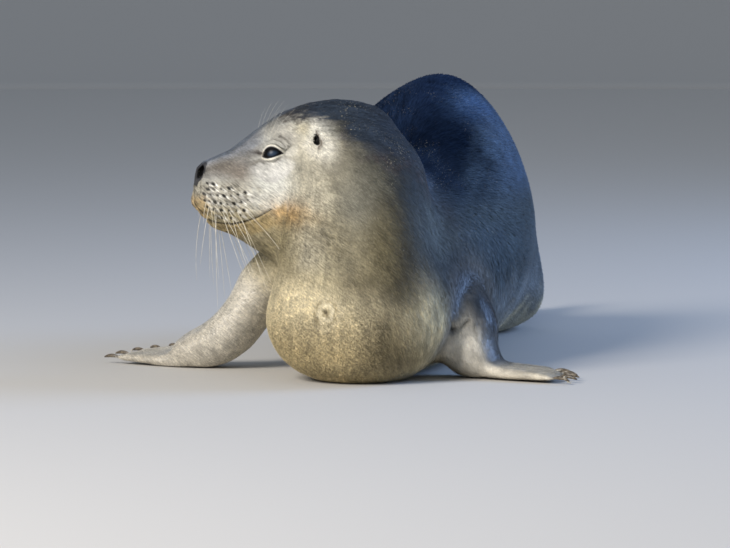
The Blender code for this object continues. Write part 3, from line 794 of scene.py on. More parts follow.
# Partly their own paler grey, partly painted reflection: the flank and back that turn to the right take
# the sky's blue-grey sheen, brighter beside the neck, with a painted highlight on the hump.
paint("#54636a", flank * facing_out, 0.75)
paint("#747d7c", blob((0.134, -0.436, 0.182), (0.026, 0.050, 0.046)) * 1.2, 0.85)
paint("#617da3", blob((0.116, -0.110, 0.320), (0.028, 0.08, 0.028)) * 1.2, 0.8)
paint("#4e6785", trunk * facing_out * ramp(z, 0.19, 0.24), 0.75)
paint("#868f95", flank * ramp(0.125 - z + 0.02 * ragged, 0.0, 0.06), 0.75)
paint("#7e7c70", trunk * ramp(0.075 - z + 0.02 * ragged, 0.0, 0.05), 0.6)
paint("#0a0f16", flank * ramp(ragged + 0.2 * grit, 0.9, 1.5), 0.5)

# dark cap, brown and flecked along its edge
over_edge = rise - np.interp(back + 0.004 * ragged, CAP_EDGE_BACK, CAP_EDGE_RISE)
frayed = over_edge + 0.006 * ragged + 0.005 * grit
cap = ramp(over_edge + 0.004 * ragged + 0.0035 * grit, -0.005, 0.007) * (back > 0.07)
cap = np.maximum(cap, 0.6 * ramp(frayed, -0.026, 0.004) * ramp(back, 0.15, 0.18))
cap *= 1 - trunk
fringe = ramp(over_edge + 0.004 * grit, -0.013, 0.004)
paint("#7f7668", fringe * ramp(0.16 - back, 0.0, 0.03) * (back > 0.08), 0.8)
paint("#43403f", cap)
paint("#3e434a", cap * ramp(over_edge + 0.006 * grit, 0.004, 0.018))
paint("#57483f", cap * ramp(0.020 - over_edge, 0.0, 0.012) * ramp(grit, 0.2, 1.2), 0.7)
paint("#37414e", cap * ramp(back, 0.10, 0.15) * ramp(normals[:, 2], 0.3, 0.8))

# forehead, bridge and muzzle
forehead = ramp(rise - 0.38 * back, 0.014, 0.028) * ramp(back, 0.062, 0.085) * (1 - cap)
paint("#b3afa4", spot(0.104, 0.048, 0.022, 0.014) * (1 - cap), 0.85)
paint("#7c7c79", forehead * ramp(0.135 - back, 0.0, 0.03), 0.8)
paint("#d6cdb0", spot(0.127, 0.055, 0.010, 0.010) * (1 - cap), 0.8)
paint("#f2efe4", spot(0.150, 0.040, 0.012, 0.022) * (1 - cap), 0.7)
bridge = ramp(rise - 0.30 * back + 0.017 + 0.005 * ragged, -0.012, 0.014)
bridge *= ramp(0.090 - back, 0.0, 0.022)
paint("#84827f", bridge, 0.9)
paint("#7a6f60", spot(0.034, 0.006, 0.024, 0.011), 0.65)
paint("#877a6b", spot(0.052, -0.003, 0.014, 0.013), 0.65)
paint("#979ca4", bridge * ramp(rise - 0.42 * back + 0.002 * ragged, -0.004, 0.006), 0.7)
ridge = ramp(0.013 - side + 0.003 * ragged, -0.003, 0.006) * ramp(normals[:, 2], 0.35, 0.7)
paint("#5d6877", ridge * (back < 0.12) * (rise > -0.01), 0.7)
pad = ramp(0.088 - back + 0.004 * grit, 0.0, 0.045) * ramp(-rise, 0.002, 0.016) * is_head
paint("#afaa9b", pad)
paint("#7c7768", pad * ramp(grit, 0.6, 2.2), 0.5)
paint("#bcae86", pad * ramp(-rise, 0.032, 0.054), 0.8)
paint("#c2a368", ramp(0.022 - back, 0.0, 0.014) * ramp(-rise, 0.020, 0.034), 0.6)
lip = ramp(0.020 + face["above"], 0.0, 0.006) * ramp(-face["above"], -0.001, 0.002)
paint("#b39f72", lip * (back < 0.105) * ramp(0.098 - face["along"], 0.0, 0.02), 0.8)
paint("#bb934f", spot(0.104, -0.043, 0.021, 0.015) * ramp(0.8 + ragged, 0.0, 0.8), 0.68)
paint("#c6a56c", spot(0.116, -0.047, 0.022, 0.010), 0.40)
mouth = bell(face["gap"], 0.0013) * ramp(face["along"], -0.004, 0.010)
paint("#3c3428", mouth * ramp(0.094 - face["along"], 0.0, 0.006), 0.9)

# nose leather, nostrils, whisker pores, ears and the rims of the lids
leather = ramp(0.0125 - back, 0.0, 0.004) * ramp(rise, -0.019, -0.010)
leather *= ramp(0.016 - rise, 0.0, 0.006) * ramp(0.017 - side, 0.0, 0.004)
leather = np.maximum(leather, ramp(1.75 - face["nostril"], 0.0, 0.30))
paint("#2c2c30", ramp(leather, 0.15, 0.6), 0.95)
# Painted shade: the nostrils are painted near black in their depths.
paint("#060506", ramp(1.08 - face["nostril"], 0.0, 0.20))
paint("#3a352f", face["groove"], 0.6)
# Painted highlights: pale dashes behind the whisker pores, where the wet bumps round the roots catch the
# light.
paint("#fffcf2", face["glints"], 0.95)
paint("#15120f", face["pores"], 0.97)
paint("#f0ecdf", bell(face["ear"] - 2.3, 1.1), 0.6)
paint("#4c3b2a", bell(face["ear"] - 1.30, 0.30) * (face["ear_back"] > 0), 0.8)
# Painted shade: the ear holes are painted near black in their depths.
paint("#0b0908", ramp(1.16 - face["ear"], 0.0, 0.25))
for eye_side in ("left", "right"):
    offset, far, _, ex, ey, inside, _ = lid_field(places, eye_side)
    close = (far < 0.035) * (inside > -0.03)
    outside = np.maximum(-inside, 0.0)
    over = ramp(ey, 0.0, 0.003)
    _, _, along, lid_rise = eye_frame(eye_side)
    ahead = offset @ along
    high = offset @ lid_rise
    across_eye = np.stack((ahead, high), axis=1)
    # Painted highlight: below the eye the pale cheek is painted near white, where the wet hide shines.
    paint("#f6f5f2", close * bell(outside - 0.0140, 0.0085) * (1 - over), 0.7)
    paint("#a8a49a", close * bell(outside - 0.0080, 0.0050), 0.35)
    # Painted shade in the creases round the eye.
    for start, end, wide, strength in LID_CREASE_SHADES:
        gap, _, _ = off_path(across_eye, (start, end))
        crease = ramp(wide + 0.0006 + 0.0002 * grit - gap, 0.0, 0.0015)
        paint("#57514a", close * crease, strength)
    tear = bell(high - 0.0020 - 0.18 * (ahead - 0.0125) + 0.0007 * grit, 0.0026)
    tear *= close * ramp(ahead, 0.0095, 0.0130) * ramp(0.034 - ahead, 0.0, 0.014)
    paint("#453d3b", tear, 0.9)
    # Painted shade in the crease over the upper lid and, fainter, under the lower one.
    short_of_corners = ramp(0.015 - np.abs(ex), 0.0, 0.005)
    paint("#45412f", close * over * bell(outside - 0.0035, 0.0012) * short_of_corners, 0.9)
    paint("#8b867b", close * (1 - over) * bell(outside - 0.0038, 0.0012), 0.6)
    rim = close * bell(outside - 0.0017, 0.0007) * ramp(0.015 - np.abs(ex), 0.0, 0.003)
    paint("#efe6cf", rim, 0.8)
    paint("#141113", close * ramp(0.0010 - outside, 0.0, 0.0008) * (far > eye_radius - 0.004))

# flippers
for node in FLIPPERS:
    near = share_near(places, flesh_tree((node,)), 0.045)
    if node.startswith("hind"):
        paint("#3b434b", near)
        continue
    paint("#d6d0c2", near, 0.92)
    # Painted light: the side that turns from the sun is painted blue-grey, as shade lit by the sky on
    # the left flipper and as the sky's reflection on the top of the right one; the pale rest is their
    # own tone.
    if node.endswith("left"):
        sky_side_tone = "#33404c"
        outer = 0.9 * normals[:, 0] + 0.35 * normals[:, 2]
    else:
        sky_side_tone = "#77828e"
        outer = 0.55 * normals[:, 2] - 0.25 * normals[:, 0] + 0.35 * normals[:, 1]
    paint(sky_side_tone, near * ramp(outer + 0.05 * grit + 0.08 * ragged, 0.20, 0.90), 0.92)
    toes = ramp(far_from(places, toe_end(node)), 0.10, 0.03)
    paint("#c6beac", toes, 0.6)
    damp = np.maximum(damp, near)
paint("#39434e", ramp(y, 0.36, 0.42), 0.8)
# Painted shade, darker than their own slate, on the left shoulder and the top of the left flipper, which
# turn from the sun.
paint("#2a3440", blob((0.158, -0.405, 0.128), (0.030, 0.030, 0.026)), 0.6)
paint("#2a3440", blob((0.190, -0.414, 0.088), (0.030, 0.036, 0.032)) * 1.2, 0.95)
# Painted light on the front of the left flipper, where the sun falls.
paint("#efe8d8", blob((0.172, -0.448, 0.040), (0.020, 0.022, 0.026)) * 1.2, 0.8)

# lines of painted shade for the creases from the mouth's corner over the throat, locks, the ring, and
# painted shade in the armpit's fold
throat = np.zeros(len(places))
profile = np.stack((back, rise), axis=1)
for start, end, wide in THROAT_LINES:
    offset = profile - off_path(profile, (start, end))[1]
    share = (back - offset[:, 0] - start[0]) / (end[0] - start[0])
    gap = np.hypot(offset[:, 0], offset[:, 1] + THROAT_SAG * share * (1 - share))
    throat = np.maximum(throat, bell(gap + 0.0006 * grit, wide) * ramp(1.0 - share, 0.0, 0.4))
# Painted shade: dark lines where creases would shade the throat.
paint("#5f553b", throat * (out > 0), 0.42)
strength = 0.05 + 0.07 * ramp(back, 0.09, 0.16) + 0.05 * trunk
tone[:, :3] *= (1 + strength * locks + 0.03 * grit)[:, None]
swirl = far_from(places, RING) + 0.0016 * ragged + 0.0012 * grit
paint("#f1e5c4", bell(swirl - 0.0086, 0.0030), 0.8)
paint("#85754f", bell(swirl - 0.0045, 0.0016), 0.6)
paint("#85754f", bell(swirl - 0.0132, 0.0018), 0.6)
paint("#efe2bf", bell(swirl - 0.0178, 0.0022) * (x > 0.018), 0.6)
paint("#2b2216", bell(swirl, 0.0028), 0.9)
# Painted shade in the armpit's fold and its deep notch.
paint("#15110d", bell(face["fold"], 0.0022), 0.6)
paint("#0c0a08", bell(face["notch"], 0.0048), 0.9)

# how wet and how glossy the hide is, how streaked, how curled and how flecked
pit = np.maximum(bell(face["fold"], 0.0030), bell(face["notch"], 0.0075))
damp = np.maximum(damp, 0.75 * flank) * (1 - pit)
sheen = 0.22 + (0.50 - 0.35 * (x > 0)) * is_limb
sheen -= 0.22 * flank * (1 - is_limb) * (1 - 0.4 * facing_out)
sheen *= 1 - pit
throat_share = ramp(-rise, 0.04, 0.10) * ramp(0.30 - back, 0.0, 0.10) * (1 - trunk)
streaks = np.maximum(1.35 * pad, 0.75 * is_head * ramp(-rise, -0.01, 0.03) * ramp(back, 0.02, 0.06))
streaks = np.maximum(streaks, np.maximum(0.5 * throat_share, 0.45 * is_head * (1 - cap)))
curl = ramp(-normals[:, 1], -0.2, 0.5) * ramp(0.115 - z + 0.01 * ragged, 0.0, 0.045)
curl *= 1 - 0.75 * bell(swirl, 0.016)
curl *= ramp(-0.30 - y, 0.0, 0.06) * (1 - is_limb) * ramp(0.12 - x + 0.02 * ragged, 0.0, 0.05)
attribute = hide.data.color_attributes.new("pelt", "FLOAT_COLOR", "POINT")
attribute.data.foreach_set("color", tone.astype(np.float32).ravel())
mark(hide.data, "damp", damp)
mark(hide.data, "sheen", sheen)
mark(hide.data, "streaks", streaks)
mark(hide.data, "curl", curl)
mark(hide.data, "salt", 1.0 + 1.4 * cap)


def scaled(tree, colour, noise_links, low, high, name=""):
    """The colour, lightened and darkened by a noise, where the named attribute says."""
    wave = add(tree, "TexNoise", noise_links)
    span = {"Value": wave, "From Min": 0.33, "From Max": 0.67, "To Min": low, "To Max": high}
    lift = add(tree, "MapRange", span)
    if name:
        where = add(tree, "Attribute", out="Fac", attribute_name=name)
        less = add(tree, "Math", {0: lift, 1: 1.0}, operation="SUBTRACT")
        lift = add(tree, "Math", {0: less, 1: where, 2: 1.0}, operation="MULTIPLY_ADD")
    return add(tree, "VectorMath", {0: colour, "Scale": lift}, operation="SCALE")


def markings_and_painted_light(tree):
    """The hide's tones with their painted light and shade, clouded, curled, streaked and flecked. Skin
    and coat share them.
    """
    colour = add(tree, "Attribute", out="Color", attribute_name="pelt")
    place = add(tree, "TexCoord", out="Object")
    cloud = {"Vector": place, "Scale": 1 / BLOTCH, "Detail": 5.0, "Roughness": 0.65}
    colour = scaled(tree, colour, cloud, 0.82, 1.17)
    curls = {"Vector": place, "Scale": 1 / CURL, "Detail": 2.0, "Distortion": 0.6}
    colour = scaled(tree, colour, curls, 0.62, 1.40, "curl")
    down = -FORWARD * math.cos(LOCK_SLOPE) - UP * math.sin(LOCK_SLOPE)
    lock_frame = Matrix((down, LEFT.cross(down), LEFT)).transposed().to_euler()
    turned = {"Vector": place, "Rotation": lock_frame, "Scale": LOCK}
    turned = add(tree, "Mapping", turned, vector_type="TEXTURE")
    locks_of_face = {"Vector": turned, "Scale": 1.0, "Detail": 2.0, "Distortion": 0.3}
    colour = scaled(tree, colour, locks_of_face, 0.54, 1.36, "streaks")
    dark = add(tree, "TexNoise", {"Vector": turned, "Scale": 1.7, "Detail": 1.0})
    span = {"Value": dark, "From Min": 0.28, "From Max": 0.40, "To Min": 0.75, "To Max": 0.0}
    dark = add(tree, "MapRange", span)
    where = add(tree, "Attribute", out="Fac", attribute_name="streaks")
    less = add(tree, "Math", {0: dark, 1: where}, operation="MULTIPLY")
    left = add(tree, "Math", {0: 1.0, 1: less}, operation="SUBTRACT", use_clamp=True)
    colour = add(tree, "VectorMath", {0: colour, "Scale": left}, operation="SCALE")
    dot = add(tree, "TexNoise", {"Vector": place, "Scale": 1 / FLECK, "Detail": 1.0})
    caught = add(tree, "MapRange", {"Value": dot, "From Min": 0.66, "From Max": 0.72})
    patch = add(tree, "TexNoise", {"Vector": place, "Scale": 21.0, "Detail": 2.0})
    span = {"Value": patch, "From Min": 0.48, "From Max": 0.62, "To Max": 0.42}
    where = add(tree, "MapRange", span)
    share = add(tree, "Math", {0: caught, 1: where}, operation="MULTIPLY")
    salt = add(tree, "Attribute", out="Fac", attribute_name="salt")
    share = add(tree, "Math", {0: share, 1: salt}, operation="MULTIPLY", use_clamp=True)
    mix = {"Factor": share, 6: colour, 7: linear("#b7b09a")}
    return add(tree, "Mix", mix, out=2, data_type="RGBA"), place


def new_material(name):
    """A material, its node tree and the inputs of its shader."""
    material = bpy.data.materials.new(name)
    material.use_nodes = True
    return material, material.node_tree, material.node_tree.nodes["Principled BSDF"].inputs


def set_wetness(tree, shader, dry, wet):
    """Roughness from how damp the hide is, and gloss from its sheen."""
    wetness = add(tree, "Attribute", out="Fac", attribute_name="damp")
    rough = add(tree, "MapRange", {"Value": wetness, "To Min": dry, "To Max": wet})
    tree.links.new(rough, shader["Roughness"])
    gleam = add(tree, "Attribute", out="Fac", attribute_name="sheen")
    tree.links.new(gleam, shader["Specular IOR Level"])


# Wet skin under the hair: matt where dry, with a broad soft gloss where the water lies.
hide_material, tree, shader = new_material("wet_seal_hide")
colour, place = markings_and_painted_light(tree)
tree.links.new(colour, shader["Base Color"])
set_wetness(tree, shader, 0.62, 0.24)
grain = add(tree, "TexNoise", {"Vector": place, "Scale": 900.0, "Detail": 3.0})
bump = add(tree, "Bump", {"Height": grain, "Strength": 0.35, "Distance": 0.0006})
tree.links.new(bump, shader["Normal"])
hide.data.materials.clear()
hide.data.materials.append(hide_material)

# ---- Eyes ------------------------------------------------------------------------------------
# Large wet eyes, almost black to the lids, with a dull blue sheen where they mirror the sky.

EYE_TONES = ((0.15, "#0b0a0a"), (0.80, "#2f3d4f"))


def set_tones(ramp_node, tones):
    """Sets the two ends of a colour ramp, and gives its colour."""
    for stop, (position, code) in zip(ramp_node.color_ramp.elements, tones):
        stop.position = position
        stop.color = linear(code)
    return ramp_node.outputs["Color"]


# A wet eyeball: black, with the sky's soft blue reflection painted into its colour so that it stays off
# the lids.
eye_material, tree, shader = new_material("wet_eyeball")
mirrored = add(tree, "Attribute", out="Fac", attribute_name="mirrored")
sheen_ramp = add(tree, "ValToRGB", {"Fac": mirrored}, out=None)
tree.links.new(set_tones(sheen_ramp, EYE_TONES), shader["Base Color"])
shader["Roughness"].default_value = 0.30
shader["Specular IOR Level"].default_value = 0.16
for side_name in ("left", "right"):
    centre, looks, _, _ = eye_frame(side_name)
    ball = Matrix.Translation(centre)
    bm = bmesh.new()
    bmesh.ops.create_uvsphere(bm, u_segments=96, v_segments=64, radius=eye_radius, matrix=ball)
    mesh = mesh_of(bm, f"eyeball_{side_name}")
    eyeball = place_piece(f"eyeball_{side_name}", mesh)
    smooth(mesh)
    mesh.materials.append(eye_material)
    on_ball = places_of(mesh)
    _, _, _, ex, ey, _, _ = lid_field(on_ball, side_name)
    glow = np.exp(-(((ex + 0.0010) / 0.0062) ** 2) - ((ey - 0.0012) / 0.0036) ** 2)
    mark(mesh, "mirrored", glow * ((on_ball - centre) @ looks > 0))
    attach(eyeball, "root")
    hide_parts(f"eye_{side_name}")

# ---- Claws -----------------------------------------------------------------------------------
# Five horn claws on each flipper, growing from the ends of the toes.

HORN_TONES = ((0.35, "#3d352c"), (0.72, "#8b7e69"))

# Horn: clouded brown growth lines under a dull polish.
claw_material, tree, shader = new_material("horn_claw")
place = add(tree, "TexCoord", out="Object")
growth = add(tree, "TexNoise", {"Vector": place, "Scale": 300.0, "Detail": 3.0})
horn = add(tree, "ValToRGB", {"Fac": growth}, out=None)
tree.links.new(set_tones(horn, HORN_TONES), shader["Base Color"])
shader["Roughness"].default_value = 0.34
ridges = add(tree, "Bump", {"Height": growth, "Strength": 0.3, "Distance": 0.0004})
tree.links.new(ridges, shader["Normal"])
for flipper in FLIPPERS:
    nodes = [node for node in claw_nodes if node.startswith(flipper)]
    claws = place_piece(f"claws_{flipper}", mesh_of(merged(nodes), f"claws_{flipper}"))
    rounding = claws.modifiers.new("Round", "SUBSURF")
    rounding.levels = 2
    rounding.render_levels = 2
    mesh = apply_modifiers(claws)
    smooth(mesh)
    mesh.materials.clear()
    mesh.materials.append(claw_material)
    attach(claws, "root")
    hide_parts(*nodes)

# ---- Coat: the hair --------------------------------------------------------------------------
# Short stiff guard hair, 3 mm on the muzzle to 11 mm on the trunk, lying flat. Each hair is a
# narrow folded blade, and the sandy hair of the wet chest curls out of line.

HAIR_MUZZLE = 0.0026
HAIR_HEAD = 0.0042
HAIR_LID = 0.0021
HAIR_NECK = 0.0080
HAIR_TRUNK = 0.0105
HAIR_FLIPPER = 0.0042
HAIR_SLENDER = 0.075  # width over length
HAIR_COVER = 1.5  # area of hair over area of hide
HAIR_MOST = 96000  # in one piece
HAIR_INPUTS = {"Geometry": "Geometry", "Seed": "Int", "Lift": "Float"}
HAIR_INPUTS |= {"Blade": "Object", "Material": "Material"}
HAIR_SEED = 40
HAIR_LIFT = 0.10  # radians off the skin
HAIR_CHANCES = (  # what is drawn for each hair, between which limits, and the seed
    ("swing", -1.0, 1.0, 3),
    ("rear", 0.3, 1.7, 5),
    ("roll", -0.35, 0.35, 6),
    ("growth", 0.65, 1.3, 7),
    ("shade", 0.0, 1.0, 11),
)
PATCH = 0.003  # each hair's share of the bake map

bpy.context.view_layer.objects.active = hide
hide.select_set(True)
hide.data.uv_layers.new(name="OFBake")
bpy.ops.object.mode_set(mode="EDIT")
bpy.ops.mesh.select_all(action="SELECT")
bpy.ops.uv.smart_project(angle_limit=math.radians(66), island_margin=0.002)
bpy.ops.object.mode_set(mode="OBJECT")
hide.select_set(False)

length = HAIR_MUZZLE + (HAIR_HEAD - HAIR_MUZZLE) * ramp(back, 0.03, 0.10)
length += (HAIR_NECK - HAIR_HEAD) * ramp(back, 0.15, 0.24)
length += (HAIR_TRUNK - HAIR_NECK) * ramp(y, -0.40, -0.25)
on_limb = is_limb * ramp(back, 0.10, 0.16)
length += (HAIR_FLIPPER - length) * on_limb
off_eyes = (far_from(places, centre) for centre in eye_centres.values())
length += (HAIR_LID - length) * ramp(0.042 - np.minimum(*off_eyes), 0.0, 0.014)
width = length * HAIR_SLENDER + 0.00012
bare = np.maximum.reduce(
    (
        ramp(0.0020 - face["gap"], 0.0, 0.0012) * ramp(face["along"], -0.004, 0.01),
        ramp(1.9 - face["nostril"], 0.0, 0.4),
        ramp(1.5 - face["ear"], 0.0, 0.4),
        ramp(leather, 0.35, 0.7),
        ramp(face["pores"], 0.0, 0.2),
        bell(face["fold"], 0.0020),
        0.75 * bell(swirl - 0.004, 0.010),
        0.45 * pad,
        ramp(0.0035 - z, 0.0, 0.0015),  # where the seal rests on the floor
    )
)
for side_name in ("left", "right"):
    _, far, _, _, _, inside, _ = lid_field(places, side_name)
    bare = np.maximum(bare, (far < 0.03) * ramp(0.0046 + inside, 0.0, 0.0016))
cover = HAIR_COVER / (0.55 * length * width) * (1 - bare) * (1 - 0.6 * on_limb)
mark(hide.data, "length", length)
mark(hide.data, "width", width)
mark(hide.data, "cover", cover)

blade_mesh = bpy.data.meshes.new("hair_blade")
blade_places = [(0, 0, -0.06), (-0.5, 0.42, 0.02), (0.5, 0.42, 0.02), (0, 1, 0.05)]
blade_mesh.from_pydata(blade_places, [], [(0, 2, 1), (1, 2, 3)])
blade_patch = np.array([(0, -0.5, 0), (-0.5, -0.1, 0), (0.5, -0.1, 0), (0, 0.5, 0)])
mark(blade_mesh, "patch", blade_patch, "FLOAT_VECTOR", "vector")
blade = bpy.data.objects.new("hair_blade", blade_mesh)


def hair_tree():
    """Strews blades over a piece of hide, along the lie of its hair."""
    tree = bpy.data.node_groups.new("Hair", "GeometryNodeTree")
    tree.interface.new_socket("Geometry", in_out="OUTPUT", socket_type="NodeSocketGeometry")
    for name, kind in HAIR_INPUTS.items():
        tree.interface.new_socket(name, in_out="INPUT", socket_type=f"NodeSocket{kind}")
    given = add(tree, "NodeGroupInput", out=None).outputs
    held = {}
    for name in ("cover", "lie", "curl", "length", "width", "OFBake", "patch", "root_uv"):
        kind = "FLOAT_VECTOR" if name in ("lie", "OFBake", "patch", "root_uv") else "FLOAT"
        held[name] = add(tree, "GeometryNodeInputNamedAttribute", {"Name": name}, data_type=kind)
    drawn = {}
    for name, low, high, seed in HAIR_CHANCES:
        limits = {2: low, 3: high, "Seed": seed}
        drawn[name] = add(tree, "FunctionNodeRandomValue", limits, out=1, data_type="FLOAT")
    strewn = add(
        tree,
        "GeometryNodeDistributePointsOnFaces",
        {"Mesh": given["Geometry"], "Density": held["cover"], "Seed": given["Seed"]},
        out=None,
        distribute_method="RANDOM",
    ).outputs
    upright = add(
        tree,
        "FunctionNodeAxesToRotation",
        {"Primary Axis": strewn["Normal"], "Secondary Axis": held["lie"]},
        primary_axis="Z",
        secondary_axis="Y",
    )
    wild = add(tree, "Math", {0: held["curl"], 1: 1.1, 2: 0.16}, operation="MULTIPLY_ADD")
    swing = add(tree, "Math", {0: drawn["swing"], 1: wild}, operation="MULTIPLY")
    rear = add(tree, "Math", {0: drawn["rear"], 1: given["Lift"]}, operation="MULTIPLY")
    risen = add(tree, "Math", {0: held["curl"], 1: 0.25, 2: rear}, operation="MULTIPLY_ADD")
    turn = add(tree, "CombineXYZ", {"X": risen, "Y": drawn["roll"], "Z": swing})
    turn = add(tree, "FunctionNodeEulerToRotation", {"Euler": turn})
    both = {"Rotation": upright, "Rotate By": turn}
    turned = add(tree, "FunctionNodeRotateRotation", both, rotation_space="LOCAL")
    grown = add(tree, "Math", {0: held["length"], 1: drawn["growth"]}, operation="MULTIPLY")
    size = add(tree, "CombineXYZ", {"X": held["width"], "Y": grown, "Z": grown})
    points = strewn["Points"]
    carried = (("root_uv", held["OFBake"], "FLOAT_VECTOR"), ("shade", drawn["shade"], "FLOAT"))
    for name, source, kind in carried:
        kept = {"Geometry": points, "Name": name, "Value": source}
        points = add(tree, "GeometryNodeStoreNamedAttribute", kept, data_type=kind, domain="POINT")
    hair = add(tree, "GeometryNodeObjectInfo", {"Object": given["Blade"]}, out="Geometry")
    planting = {"Points": points, "Instance": hair, "Rotation": turned, "Scale": size}
    planted = add(tree, "GeometryNodeInstanceOnPoints", planting)
    real = add(tree, "GeometryNodeRealizeInstances", {"Geometry": planted})
    small = add(tree, "VectorMath", {0: held["patch"], "Scale": PATCH}, operation="SCALE")
    uv = add(tree, "VectorMath", {0: held["root_uv"], 1: small}, operation="ADD")
    kept = {"Geometry": real, "Name": "OFBake", "Value": uv}
    mapped = add(tree, "GeometryNodeStoreNamedAttribute", kept, data_type="FLOAT2", domain="CORNER")
    coated = add(tree, "GeometryNodeSetMaterial", {"Geometry": mapped, "Material": given["Material"]})
    add(tree, "NodeGroupOutput", {0: coated}, out=None)
    return tree


# Wet guard hair: the hide's tones, painted light and shade included, each blade a little lighter or
# darker, sleek where wet.
hair_material, tree, shader = new_material("guard_hair")
colour, place = markings_and_painted_light(tree)
shade = add(tree, "Attribute", out="Fac", attribute_name="shade")
vary = add(tree, "MapRange", {"Value": shade, "To Min": 0.74, "To Max": 1.30})
varied = add(tree, "VectorMath", {0: colour, "Scale": vary}, operation="SCALE")
tree.links.new(varied, shader["Base Color"])
set_wetness(tree, shader, 0.60, 0.34)

growing = hair_tree()
sockets = {item.name: item.identifier for item in growing.interface.items_tree if item.in_out == "INPUT"}
corners = [list(p.vertices) for p in hide.data.polygons]
face_middle = np.array([places[three].mean(axis=0) for three in corners])
hairs = np.array([p.area for p in hide.data.polygons])
hairs *= np.array([cover[three].mean() for three in corners])
face_back, _, _ = on_head(face_middle)
along_body = face_middle[:, 1] + 0.3 * face_middle[:, 0]
order = np.argsort(np.where(face_back < 0.2, face_back - 1.0, along_body), kind="stable")
pieces = math.ceil(hairs.sum() / HAIR_MOST)
share_of = np.empty(len(hairs), int)
share_of[order] = np.minimum((np.cumsum(hairs[order]) / hairs.sum() * pieces).astype(int), pieces - 1)
for number in range(pieces):
    bm = bmesh.new()
    bm.from_mesh(hide.data)
    bm.faces.ensure_lookup_table()
    others = [bm.faces[k] for k in np.nonzero(share_of != number)[0]]
    bmesh.ops.delete(bm, geom=others, context="FACES")
    coat = place_piece(f"coat_{number + 1}", mesh_of(bm, f"coat_{number + 1}"))
    hair = coat.modifiers.new("Hair", "NODES")
    hair.node_group = growing
    hair[sockets["Seed"]] = HAIR_SEED + number
    hair[sockets["Lift"]] = HAIR_LIFT
    hair[sockets["Blade"]] = blade
    hair[sockets["Material"]] = hair_material
    apply_modifiers(coat)
    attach(coat, "root")
bpy.data.objects.remove(blade)

# ---- Whiskers --------------------------------------------------------------------------------
# Stiff tapered whiskers from rows of pores on the upper lips, and a few over each eye. They are
# pale and droop under their own weight.

WHISKER_ROOT = 0.00028  # radius
WHISKER_TIP = 0.00006
WHISKER_SIDES = 5
WHISKER_LENGTHS = (0.005, 0.006, 0.010, 0.040, 0.112, 0.138)  # by row, from the top
WHISKER_STEPS = 14
WHISKER_TONES = ((0.35, "#d8cfb6"), (0.65, "#f6f1e2"))
BROW_HAIRS = 4
DOWN = Vector((0, 0, -1))


def whisker(bm, root, way, length, droop, bow, thick=1.0):
    """Adds a tapered tube that sets out along way and bends down as it goes."""
    path = []
    here = Vector(root)
    way = Vector(way).normalized()
    for step in range(WHISKER_STEPS + 1):
        path.append(here.copy())
        here = here + way * (length / WHISKER_STEPS)
        way = (way + droop * DOWN / WHISKER_STEPS + bow / WHISKER_STEPS).normalized()
    rings = []
    for step, spot in enumerate(path):
        ahead = path[min(step + 1, WHISKER_STEPS)] - path[max(step - 1, 0)]
        turn = ahead.to_track_quat("Z", "Y")
        share = step / WHISKER_STEPS
        radius = thick * (WHISKER_ROOT * (1 - share) ** 0.8 + WHISKER_TIP)
        ring = []
        for k in range(WHISKER_SIDES):
            angle = 2 * math.pi * k / WHISKER_SIDES
            rim = Vector((radius * math.cos(angle), radius * math.sin(angle), 0))
            ring.append(bm.verts.new(spot + turn @ rim))
        rings.append(ring)
    for low, high in zip(rings, rings[1:]):
        for k in range(WHISKER_SIDES):
            n = (k + 1) % WHISKER_SIDES
            bm.faces.new((low[k], low[n], high[n], high[k]))
    bm.faces.new(rings[0][::-1])
    bm.faces.new(rings[-1])


# Pale horn, clouded along its length and smoothly polished.
whisker_material, tree, shader = new_material("whisker_horn")
place = add(tree, "TexCoord", out="Object")
streak = add(tree, "TexNoise", {"Vector": place, "Scale": 90.0, "Detail": 2.0})
pale = add(tree, "ValToRGB", {"Fac": streak}, out=None)
tree.links.new(set_tones(pale, WHISKER_TONES), shader["Base Color"])
shader["Roughness"].default_value = 0.35

skin_tree = BVHTree.FromPolygons([v.co for v in hide.data.vertices], corners)
chances = np.random.default_rng(7)
for side_name, sign in (("left", 1), ("right", -1)):
    bm = bmesh.new()
    for row, k, b, r in follicles():
        wobble = chances.uniform(-1, 1, 6).tolist()
        root, normal, _, _ = skin_tree.find_nearest(in_head(b, sign * 0.034, r))
        length = WHISKER_LENGTHS[row] * (0.75 + 0.25 * min(k, 3) / 3) * (1 + 0.20 * wobble[0])
        way = normal * 0.55 - FORWARD * (0.10 + 0.17 * k + 0.12 * wobble[1])
        way -= UP * (0.95 + 0.18 * wobble[2])
        bow = -FORWARD * (0.10 + 0.20 * wobble[3]) + LEFT * sign * (-0.30 + 0.25 * wobble[4])
        stout = 1.5 if row < 3 else 1.0
        whisker(bm, root - normal * 0.001, way, length, 0.35 + 0.2 * wobble[5], bow, stout)
    for k in range(BROW_HAIRS):
        wobble = chances.uniform(-1, 1, 3).tolist()
        brow = in_head(0.083 + 0.004 * k, sign * 0.030, 0.034 + 0.002 * (k % 2))
        root, normal, _, _ = skin_tree.find_nearest(brow)
        way = normal * 0.5 + UP * (1.0 + 0.1 * wobble[0]) - FORWARD * (0.25 + 0.12 * k)
        length = 0.044 + 0.004 * k + 0.006 * wobble[1]
        whisker(bm, root - normal * 0.001, way, length, 0.15, -FORWARD * 0.5, 0.38)
    mesh = mesh_of(bm, f"whiskers_{side_name}")
    whiskers = place_piece(f"whiskers_{side_name}", mesh)
    smooth(mesh)
    mesh.materials.append(whisker_material)
    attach(whiskers, "root")

# ---- Stage, lights and camera ----------------------------------------------------------------
# A pale floor that sweeps up into a backdrop, low warm sun from the viewer's left, cool sky light
# from the right and behind, and a long lens at the seal's own height.

